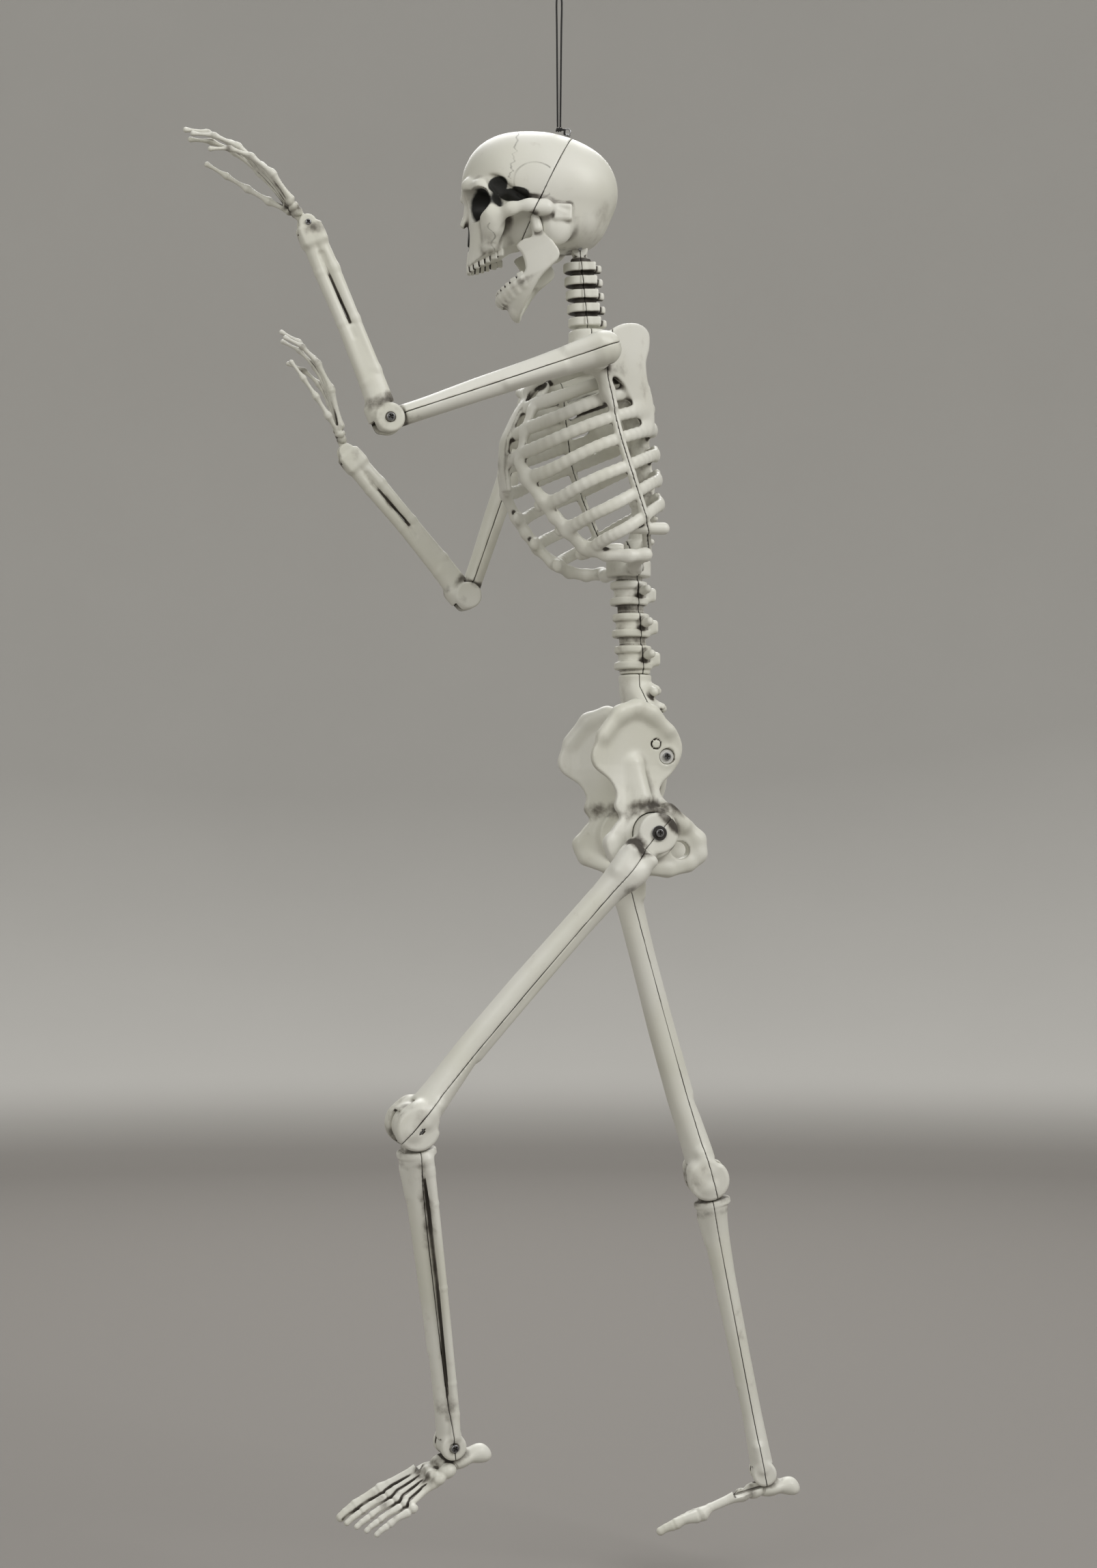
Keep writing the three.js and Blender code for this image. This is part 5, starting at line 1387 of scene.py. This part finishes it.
# %% [markdown]
# A foot is one moulding too: the heel and the small ankle bones run together, and five rows of
# bones fan out of them, each swelling at its ends.

# %% Feet
FOOT_LENGTH = 170.0
HEEL_BACK = 25.0


def foot_rays():
    """Each toe's bones from the ankle forward, as stations of [x, y, z, radius]."""
    for number in range(5):
        share = number / 4
        length = FOOT_LENGTH - HEEL_BACK - 9 - share * 24 - (4 if number == 0 else 0)
        start, end = -15 + 28 * share, -26 + 56 * share
        size = 5.6 if number == 0 else 3.7 - share * 0.3
        arch = -14 - share * 11
        yield number, start, end, length, size, arch


def foot_clay():
    clay = Clay((-36, -142, -40), (38, 40, 14), 0.9)
    tongue_half = ANKLE_SLOT - 0.8
    clay.add(disc(0, (0, 0, 0), ANKLE_TONGUE, tongue_half, 1.5))
    clay.add(rod((0, 2, -4), (0, 3, -16), 9.5, 11, (1, 0, 0), 1.15), 4)
    clay.add(ball((0, 5, -21), (13, 17, 8)), 4)
    clay.add(ball((1, 24, -24), (10, 10.5, 10)), 7)
    clay.add(ball((1, 29, -29), (8, 6, 6)), 5)
    # the small bones of the instep
    for x, y, z, r in ((-6, -16, -16, 11), (9, -15, -21, 9.5), (-13, -29, -16, 8), (-4, -31, -16, 7),
                       (5, -30, -18.5, 7), (13, -27, -23, 7.5)):
        clay.add(ball((x, y, z), (r, r * 1.05, r * 0.82)), 2.2)
    for number, start, end, length, size, arch in foot_rays():
        share = number / 4
        joint_y = -84 + share * 14
        bones = [
            [start, -32, arch, size * 1.5], [start * 0.9 + end * 0.1, -44, arch - 1, size * 0.95],
            [start * 0.4 + end * 0.6, (joint_y - 40) / 2 - 8, arch - 3, size * 0.85],
            [end * 0.95, joint_y + 5, arch - 6, size * 1.45],
        ]
        clay.add_all(chain(bones), 1.6)
        gap = joint_y - 4.5
        tip = -length
        middle = gap + (tip - gap) * 0.55
        clay.add_all(chain([
            [end * 0.97, gap + 2, arch - 7, size * 1.3], [end, (gap + middle) / 2, arch - 6, size * 0.8],
            [end, middle + 3, arch - 8, size * 1.15],
        ]), 1.2)
        clay.add_all(chain([
            [end, middle - 2.5, arch - 9, size * 1.05], [end, (middle + tip) / 2, arch - 9.5, size * 0.8],
            [end * 0.98, tip + 3, arch - 11.5, size * 0.85],
        ]), 1.2)
        clay.add(rod((end * 0.95, joint_y + 8, arch - 6.5), (end, middle - 4, arch - 8.5), size * 0.75), 1.0)
    for s in (-1, 1):
        lo, hi = sorted((s * tongue_half, s * 40))
        clay.cut(box((lo, -40, -ANKLE_RADIUS - 0.8), (hi, 40, 30), 0.5), 0)
    return clay


foot_stains = [((0, -24, -14), (26, 12, 12), 0.42), ((0, 2, -13), (20, 16, 6), 0.55)]
foot_stains += [((-8 + 8 * k, -38, -14), (5, 9, 9), 0.6) for k in range(4)]
foot_stains += [((-22 + 12 * k, -86, -24), (5, 7, 8), 0.4) for k in range(5)]
cast(foot_clay(), sides_of("SIDE_foot", "SIDE_foot", "SIDE_foot"), stains=foot_stains)

# %% Upper arms
ARM_HEAD, TONGUE_HALF = 18.0, 5.0
ELBOW_TONGUE, ELBOW_SLOT, ELBOW_RADIUS, ELBOW_OUTER = 13.0, 8.5, 15.0, 14.0


def humerus_clay():
    drop = -upper_arm_length
    clay = Clay((-20, -22, drop - 16), (22, 22, 21), 1.0)
    clay.add(loft([
        [0, 0, -4, 15, 16.5], [0, 0, -34, 13.5, 15], [0, 0, -80, 11.5, 13], [0, 0, drop * 0.6, 10.8, 11.8],
        [0, 1, drop + 40, 13, 10.5], [0, 1, drop + 18, 13.5, 10.5], [0, 1, drop + 6, 12, 10.5],
    ], 8, 3))
    clay.add(ball((0, 0, 0), (ARM_HEAD - 0.5, ARM_HEAD, ARM_HEAD)), 6)
    clay.add(rod((9, -8, -6), (8, -8, -40), 8, 5), 6)
    clay.add(rod((8, 4, -50), (8, 3, -110), 5, 4), 6)
    clay.add(disc(0, (0, 0, drop), ELBOW_TONGUE, ELBOW_SLOT - 0.6, 2), 3)
    slot_half = TONGUE_HALF + 0.7
    clay.cut(disc(1, (0, 0, 0), 12.4, slot_half, 0.5), 0)
    clay.cut(box((-40, -slot_half, 0), (7, slot_half, 40), 0.5), 0.5)
    clay.cut(box((-40, -slot_half, -9), (0, slot_half, 3), 0.5), 0.5)
    for s in (-1, 1):
        lo, hi = sorted((s * (ELBOW_SLOT - 0.5), s * 40))
        clay.cut(box((lo, -40, drop - 40), (hi, 40, drop + ELBOW_RADIUS + 1.6), 2), 2)
    clay.cut(disc(1, (0, 20, 0), 4.6, 6.5, 0.4), 0.3)
    return clay


humerus_stains = [
    ((0, 0, 8), (20, 14, 12), 0.25), ((10, 8, -upper_arm_length + 24), (12, 12, 9), 0.42),
    ((0, 0, -upper_arm_length + 14), (20, 20, 5), 0.6),
]
cast(humerus_clay(), halves_of("humerus", "SIDE_upper_arm", "SIDE_upper_arm"), parting=[[0, 40], [0, -400]],
     stains=humerus_stains)

# %% [markdown]
# The white knuckle is the shoulder's own small part: a spool that turns in the chest, with a
# round tongue that the arm swings out on.

# %% Shoulder knuckles
def white_finish():
    made = Finish("white_plastic")
    cloud = made.noise(40.0, 3.0)
    # painted shade: the knuckle is coloured a darker brown-grey the deeper a point sits in a hollow
    darkening = (made.painted("hollow") + (cloud - 0.5) * 0.5).rise(0.45, 0.95)
    body = made.mix(darkening * 0.6, made.mix(cloud, from_screen(240, 240, 236), from_screen(230, 230, 224)),
                    from_screen(100, 92, 80))
    grain = made.bump(made.noise(500.0, 2.0), 0.00008, 0.2)
    return made.set(Base_Color=body, Roughness=0.34 + 0.12 * cloud, Normal=grain)


white = white_finish()


def knuckle_clay():
    clay = Clay((-60, -18, -18), (16, 18, 18), 0.8)
    clay.add(disc(0, (-40, 0, 0), 11.5, 3.4, 1))
    clay.add(disc(0, (-34, 0, 0), 8, 10, 1), 1)
    clay.add(disc(0, (-23.4, 0, 0), 13, 2.1, 0.8), 0.8)
    clay.add(box((-24, -4.6, -4.5), (0, 4.6, 4.5), 1), 1.5)
    clay.add(disc(1, (0, 0, 0), 11, 4.8, 1), 1)
    clay.cut(disc(1, (0, 0, 0), 2.4, 10, 0.2))
    return clay


knuckle_targets = [
    (f"{label}_shoulder_knuckle", places[f"{label}_upper_arm"], f"{label}_shoulder",
     [f"{label}_shoulder_knuckle"]) for label in SIDES
]
cast(knuckle_clay(), knuckle_targets, finish=white)

# %% [markdown]
# The forearm's two bones are moulded side by side, with a slot between them along the lower
# half. A fork at the top grips the elbow and a square cuff at the bottom holds the wrist.

# %% Forearms
WRIST_TONGUE, WRIST_SLOT, WRIST_OUTER = 6.5, 4.2, 9.0


def forearm_clay():
    drop = -forearm_length
    clay = Clay((-18, -22, drop - 14), (20, 24, 19), 0.9)
    clay.add_all(chain([
        [0, -4, -16, 8.5], [0, -6.5, -50, 6.6], [0, -7.5, drop * 0.5, 5.8], [0, -7, drop + 50, 7],
        [0, -4, drop + 14, 8.8],
    ]), 3)
    clay.add_all(chain([
        [0, 7, -10, 9.5], [0, 6.5, -40, 7.4], [0, 5.5, drop * 0.5, 6.2], [0, 6, drop + 50, 6.6],
        [0, 4, drop + 14, 8.2],
    ]), 1.6)
    clay.add(rod((0, 3, -14), (0, 1, -40), 11, 8), 4)
    clay.add(rod((0, 0, -36), (0, -1, -96), 7.5, 5.5), 3)
    clay.add(box((-10.2, -13, drop + 1), (10.2, 12.5, drop + 22), 3.5), 6)
    clay.add(disc(0, (0, 0, 0), ELBOW_RADIUS, ELBOW_OUTER, 3), 3)
    clay.add(rod((0, 12, 6), (0, 12, -14), 8, 8, (1, 0, 0), 0.8), 4)
    clay.add(disc(0, (0, 0, drop), 9, WRIST_OUTER, 2), 3)
    clay.cut_all([rod((s * 9, 0.5, drop * 0.42), (s * 9, -0.5, drop + 34), 3.0, 3.4) for s in (-1, 1)], 2.5)
    clay.cut(box((-1.4, -0.8, drop + 40), (1.4, 0.8, drop * 0.5), 0.4), 1)
    clay.cut(box((-ELBOW_SLOT, -40, -ELBOW_TONGUE - 1.6), (ELBOW_SLOT, 6.5, 60), 0.5), 1)
    clay.cut(disc(0, (0, 0, 0), ELBOW_TONGUE + 1.2, ELBOW_SLOT, 0.5), 0)
    clay.cut(box((-ELBOW_SLOT, -60, -2), (ELBOW_SLOT, 60, 60), 0.5), 1)
    clay.cut(box((-WRIST_SLOT, -40, drop - 30), (WRIST_SLOT, 40, drop + WRIST_TONGUE + 1.6), 0.5), 0.5)
    clay.cut(disc(0, (ELBOW_OUTER, 0, 0), 5.2, 1.2, 0.4), 0.4)
    return clay


forearm_stains = [
    ((0, 0, -18), (16, 20, 7), 0.62), ((0, 12, 2), (18, 9, 12), 0.4), ((0, -14, -4), (18, 7, 9), 0.5),
    ((0, 0, -forearm_length + 8), (14, 18, 8), 0.5), ((0, 0, -forearm_length + 60), (10, 4, 44), 0.4),
]
cast(forearm_clay(), sides_of("SIDE_forearm", "SIDE_forearm", "SIDE_forearm"), stains=forearm_stains)

# %% [markdown]
# The hand is the finest moulding: a knot of small wrist bones, then rods that narrow in the
# middle and swell at each knuckle. The fingers lie half closed, so each finger's line bends.

# %% Hands
HAND_LENGTH = 150.0


def finger_line(number):
    share = number / 3
    reach = HAND_LENGTH * (1 - 0.06 * abs(number - 1) - (0.1 if number == 3 else 0))
    start, end = -10.5 + 21 * share, -17 + 34 * share
    return [
        (start, -2, -27), (end, -4, -reach * 0.5), (end * 1.04, 1, -reach * 0.72),
        (end * 1.04, 12, -reach * 0.88), (end, 27, -reach * 0.985),
    ]


def knuckled(line, size):
    """Bones along a line of joints: each narrows in its middle and swells at its ends."""
    stations = []
    for (a, b), shrink in zip(zip(line, line[1:]), (1.0, 0.9, 0.78, 0.66)):
        a, b = Vector(a), Vector(b)
        for share, swell in ((0.04, 1.3), (0.16, 0.95), (0.5, 0.72), (0.84, 0.95), (0.95, 1.25)):
            stations.append([*a.lerp(b, share), size * shrink * swell])
    return stations


def hand_clay():
    clay = Clay((-30, -14, -154), (24, 36, 10), 0.62)
    tongue_half = WRIST_SLOT - 0.6
    clay.add(disc(0, (0, 0, 0), WRIST_TONGUE, tongue_half, 1))
    clay.add(rod((0, 0, -2), (0, 0, -13), 4.4, 5.2, (1, 0, 0), 1.25), 1.5)
    for x, y, z, r in ((-4, 0, -15, 5), (4.5, -0.5, -15, 5), (-9, 0.5, -20.5, 4.6), (-1, -1.5, -21, 4.8),
                       (7.5, -0.5, -21, 4.8), (-10.5, 0.5, -27, 4), (-3.5, -1.5, -27, 4),
                       (3.5, -1.5, -27.5, 4), (10.5, 0, -26.5, 4)):
        clay.add(ball((x, y, z), (r, r, r)), 1.2)
    for number in range(4):
        clay.add_all(chain(knuckled(finger_line(number), 3.5 - 0.25 * number / 3)), 0.9)
    thumb = [(-8, 2, -21), (-17, 9, -43), (-21.5, 16, -67), (-22.5, 23, -90), (-22, 30, -111)]
    clay.add_all(chain(knuckled(thumb, 3.5)), 0.9)
    for s in (-1, 1):
        lo, hi = sorted((s * tongue_half, s * 40))
        clay.cut(box((lo, -40, -WRIST_TONGUE - 3.4), (hi, 40, 30), 0.4), 0)
    return clay


hand_stains = [((0, 0, -16), (16, 9, 7), 0.55), ((0, 0, -27), (18, 9, 5), 0.5)]
hand_stains += [((-8 + 8 * k, -2, -42), (2.4, 6, 16), 0.7) for k in range(3)]
hand_stains += [((x, y, z), (5, 5, 4), 0.36) for n in range(4) for x, y, z in finger_line(n)[1:4]]
cast(hand_clay(), sides_of("SIDE_hand", "SIDE_hand", "SIDE_hand"), stains=hand_stains)

# %% [markdown]
# Screws are turned and pressed: a pan head with a cross driven into it. The same clay at a much
# finer grid makes one, and the depth of the cross paints shade into its recess. The chest's and hips'
# screws hold mouldings together, and the rest are pivots.

# %% Screws and washers
def steel_finish():
    made = Finish("screw_steel")
    brushed = made.noise(300.0, 3.0, 0.6, (1.0, 1.0, 6.0))
    # painted shade: the deeper a point sits in a hollow, such as the screw's cross, the darker and less
    # metallic it is coloured
    recess_shade = (made.painted("hollow") + (brushed - 0.5) * 0.3).rise(0.35, 0.8)
    body = made.mix(recess_shade, made.mix(brushed, from_screen(176, 176, 176), from_screen(142, 142, 144)),
                    from_screen(40, 37, 33))
    marks = made.bump(brushed, 0.00006, 0.35)
    return made.set(Base_Color=body, Metallic=1 - 0.75 * recess_shade, Roughness=0.28 + 0.3 * recess_shade, Normal=marks)


steel = steel_finish()


def screw_clay(head_radius, head_height, shank, length):
    """A screw along x, its head's seat at zero and the head outside it."""
    reach = head_radius + 1
    clay = Clay((-length, -reach, -reach), (head_height + 1, reach, reach), 0.3)
    clay.add(disc(0, (-length / 2 + 0.5, 0, 0), shank, length / 2 - 0.2, 0.3))
    clay.add(disc(0, (head_height / 2, 0, 0), head_radius, head_height / 2, min(1.0, head_height * 0.45)))
    for y, z in ((0.17, 0.62), (0.62, 0.17)):
        y, z = y * head_radius, z * head_radius
        clay.cut(box((head_height - 1.5, -y, -z), (head_height + 4, y, z), 0.2))
    return clay


def washer_clay(radius, hole, thick):
    clay = Clay((-0.6, -radius - 1, -radius - 1), (thick + 0.6, radius + 1, radius + 1), 0.35)
    clay.add(disc(0, (thick / 2, 0, 0), radius, thick / 2, 0.5))
    clay.cut(disc(0, (thick / 2, 0, 0), hole, 10, 0.1))
    return clay


QUARTER_TURN = Matrix.Rotation(math.radians(90), 4, "Z")


def fastened(frame_name, x, y=0.0, z=0.0, turn=0.0, axis="X"):
    """Where a fastener sits on a bone: its seat, and its own turn about its axis."""
    place = places[frame_name] @ Matrix.Translation((x, y, z))
    if axis == "Y":
        place = place @ QUARTER_TURN
    return place @ Matrix.Rotation(math.radians(turn), 4, "X")


# how far out along its own axis each head or washer is seated
HEAD_GAP = 0.3
SHOULDER_SEAT = 13.6
HIP_WASHER_SEAT, HIP_WASHER_THICK = 97.3, 1.5
PELVIS_WASHER_SEAT, PELVIS_WASHER_THICK = 50.3, 2.0
WASHER_GAP = 0.3
RIB_SCREW = Vector((92, 62.3, -224))
turn_of = {"left": 20, "right": 55}
pelvis_of = {"left": pelvis_place, "right": pelvis_mirror}
chest_of = {"left": chest, "right": chest_mirror}


def on_pelvis(label, x, place):
    """The seat of a part that lies on one side of the pelvis, straight out from a place on it."""
    return pelvis_of[label] @ Matrix.Translation((x, place.y, place.z))


screw_targets, wrist_targets = [], []
for label, turn in turn_of.items():
    screw_targets += [
        (f"{label}_knee_screw", fastened(f"{label}_condyles", KNEE_OUTER + HEAD_GAP, turn=turn),
         f"{label}_thigh", [f"{label}_knee_screw"]),
        (f"{label}_ankle_screw",
         fastened(f"{label}_shin", ANKLE_OUTER + HEAD_GAP, 0, -shin_length, turn + 30),
         f"{label}_shin", [f"{label}_ankle_screw"]),
        (f"{label}_elbow_screw", fastened(f"{label}_forearm", ELBOW_OUTER + HEAD_GAP, turn=turn - 10),
         f"{label}_upper_arm", [f"{label}_elbow_screw"]),
    ]
    wrist_targets.append((
        f"{label}_wrist_screw",
        fastened(f"{label}_forearm", WRIST_OUTER + HEAD_GAP, 0, -forearm_length, turn),
        f"{label}_forearm", [f"{label}_wrist_screw"],
    ))
    screw_targets.append((
        f"{label}_shoulder_screw", fastened(f"{label}_upper_arm", 0, SHOULDER_SEAT, 0, turn, "Y"),
        f"{label}_upper_arm", [f"{label}_shoulder_screw"],
    ))
for label in SIDES:
    hip_seat = HIP_WASHER_SEAT + HIP_WASHER_THICK + WASHER_GAP
    pelvis_seat = PELVIS_WASHER_SEAT + PELVIS_WASHER_THICK + WASHER_GAP
    rib_seat = chest_of[label] @ Matrix.Translation(RIB_SCREW) @ QUARTER_TURN
    screw_targets += [
        (f"{label}_hip_screw", on_pelvis(label, hip_seat, HIP), "pelvis", [f"{label}_hip_screw"]),
        (f"pelvis_screw_{label}", on_pelvis(label, pelvis_seat, SACRUM_SCREW), "pelvis",
         [f"pelvis_screw_{label}"]),
        (f"ribcage_screw_{label}", rib_seat, "torso", [f"ribcage_screw_{label}"]),
    ]
hip_washers = [
    (f"{label}_hip_washer", on_pelvis(label, HIP_WASHER_SEAT, HIP), "pelvis", [f"{label}_hip_washer"])
    for label in SIDES
]
pelvis_washers = [
    (f"pelvis_washer_{label}", on_pelvis(label, PELVIS_WASHER_SEAT, SACRUM_SCREW), "pelvis",
     [f"pelvis_washer_{label}"])
    for label in SIDES
]
cast(screw_clay(4.2, 2.6, 2.0, 12), screw_targets, finish=steel)
cast(screw_clay(3.0, 2.2, 1.5, 8), wrist_targets, finish=steel)
cast(washer_clay(8.0, 2.3, HIP_WASHER_THICK), hip_washers, finish=steel)
cast(washer_clay(7.6, 2.3, PELVIS_WASHER_THICK), pelvis_washers, finish=white)
neck_pin = bpy.data.objects["neck_pin"]
neck_pin.data.materials.clear()
neck_pin.data.materials.append(steel)

# %% [markdown]
# The screw eye on the crown is a wire ring on a collared shank. The loop's ends are tied in a small
# overhand knot in front of it, and one bight of the knot runs through the ring.

# %% Screw eye and knot
EYE_RING, EYE_WIRE = 3.2, 0.8
KNOT_HALF = 3.0  # half the length of the knot's body
BIGHT = 2.3  # radius of the turn that runs through the ring
STRAND = CORD_DIAMETER / MM / 2


def ring(centre, radius, wire):
    """A wire ring that stands in the y-z plane."""
    centre = np.array(centre, float)

    def distance(x, y, z):
        out = np.sqrt((y - centre[1]) ** 2 + (z - centre[2]) ** 2) - radius
        return np.sqrt(out * out + (x - centre[0]) ** 2) - wire

    reach = np.array([wire, radius + wire, radius + wire])
    return centre - reach, centre + reach, distance


def around(steps):
    """Cosine and sine at even steps once round a circle."""
    return [(math.cos(2 * math.pi * k / steps), math.sin(2 * math.pi * k / steps)) for k in range(steps + 1)]


def eye_clay():
    clay = Clay((-5, -18, 116), (5, -8, 135), 0.25)
    clay.add(ring(EYE, EYE_RING, EYE_WIRE))
    foot = EYE.z - EYE_RING - EYE_WIRE
    clay.add(disc(2, (0, EYE.y, foot), 3.4, 0.55, 0.3), 0.3)
    clay.add(rod((0, EYE.y, foot), (0, EYE.y, foot - 7.6), 1.3), 0.3)
    return clay


def knot_clay():
    """Turns of the elastic pulled tight over a small core, and the bight through the eye."""
    clay = Clay((-5, -28, 124), (5, -11, 138), 0.3)
    for shift, size in ((-2.3, 0.85), (0, 1.0), (2.2, 0.8)):
        turn = [
            [1.9 * size * c, KNOT.y + shift + 0.5 * s, KNOT.z + 1.8 * size * s, STRAND * 0.85]
            for c, s in around(12)
        ]
        clay.add_all(chain(turn), 0.3)
    clay.add(ball(KNOT, (1.8, KNOT_HALF, 1.7)), 0.4)
    bight = [
        [BIGHT * c, EYE.y - EYE_RING + 0.2 * s, EYE.z + BIGHT * s, STRAND] for c, s in around(16)
    ]
    clay.add_all(chain(bight), 0.2)
    clay.add(rod((0, EYE.y - EYE_RING - 0.2, EYE.z + BIGHT), KNOT, STRAND, STRAND * 1.3), 0.5)
    return clay


cast(eye_clay(), [("hanging_eyelet", head, "skull", ["hanging_eyelet"])], finish=steel)
knot_piece = cast(knot_clay(), [("cord_knot", head, "skull", ["cord_knot"])], finish=elastic)[0]

# %% [markdown]
# A seamless grey studio: one round sweep of floor and wall, with shade painted on the floor so it
# reads darker than the wall, a large soft key behind the figure and above, a weaker fill on the
# face's side, a broad back light on the far side, and an open sky over it all.

# %% Studio
FLOOR = -1.735


def sweep(radius=4.6, bend=2.6, top=5.0):
    profile = [(0.0, FLOOR), (radius, FLOOR)]
    for step in range(1, 13):
        a = math.pi / 2 * step / 12
        profile.append((radius + bend * math.sin(a), FLOOR + bend * (1 - math.cos(a))))
    profile.append((radius + bend, top))
    return profile


sides = 96
profile = sweep()
sweep_mesh = bpy.data.meshes.new("studio_sweep")
rows = [
    (r * math.cos(2 * math.pi * k / sides), r * math.sin(2 * math.pi * k / sides), z)
    for r, z in profile[1:] for k in range(sides)
]
faces = [list(range(sides))]
for row in range(len(profile) - 2):
    for k in range(sides):
        n = (k + 1) % sides
        faces.append([row * sides + k, (row + 1) * sides + k, (row + 1) * sides + n, row * sides + n])
sweep_mesh.from_pydata(rows, [], faces)
sweep_mesh.shade_smooth()
studio = bpy.data.objects.new("studio_sweep", sweep_mesh)
bpy.context.scene.collection.objects.link(studio)
grey = Finish("studio_grey")
paper = grey.noise(2.0, 2.0)
level = grey.node("ShaderNodeSeparateXYZ", "Z", None, Vector=grey.node("ShaderNodeTexCoord", "Object"))
wall = grey.mix(paper, from_screen(200, 198, 193), from_screen(204, 202, 197))
# painted shade: the floor is coloured much darker than the wall, against the stronger light it gets from
# above
grey_with_floor_shade = grey.mix(level.rise(FLOOR - 0.02, FLOOR + 0.2), from_screen(131, 127, 122), wall)
studio.data.materials.append(grey.set(Base_Color=grey_with_floor_shade, Roughness=0.9))


def soft_light(name, place, aim, size, power, colour=(1, 1, 1)):
    lamp = bpy.data.lights.new(name, "AREA")
    lamp.size = size
    lamp.energy = power
    lamp.color = colour
    made = bpy.data.objects.new(name, lamp)
    made.location = place
    made.rotation_euler = (Vector(place) - Vector(aim)).to_track_quat("Z", "Y").to_euler()
    bpy.context.scene.collection.objects.link(made)
    return made


AIM = (0, 0, -0.85)
soft_light("key", (3.2, 2.6, 1.9), AIM, 2.4, 120)
soft_light("fill", (3.6, -2.8, 0.9), AIM, 2.6, 58, (1.0, 1.0, 0.985))
soft_light("back", (-3.4, 0.5, 2.6), AIM, 3.4, 150)
world = bpy.data.worlds.new("studio_sky")
world.use_nodes = True
world.node_tree.nodes["Background"].inputs[0].default_value = (1, 1, 1, 1)
world.node_tree.nodes["Background"].inputs[1].default_value = 0.5
bpy.context.scene.world = world
bpy.context.scene.view_settings.view_transform = "Standard"
print("studio:", len(sweep_mesh.polygons), "faces of paper, 3 soft lights and the sky")
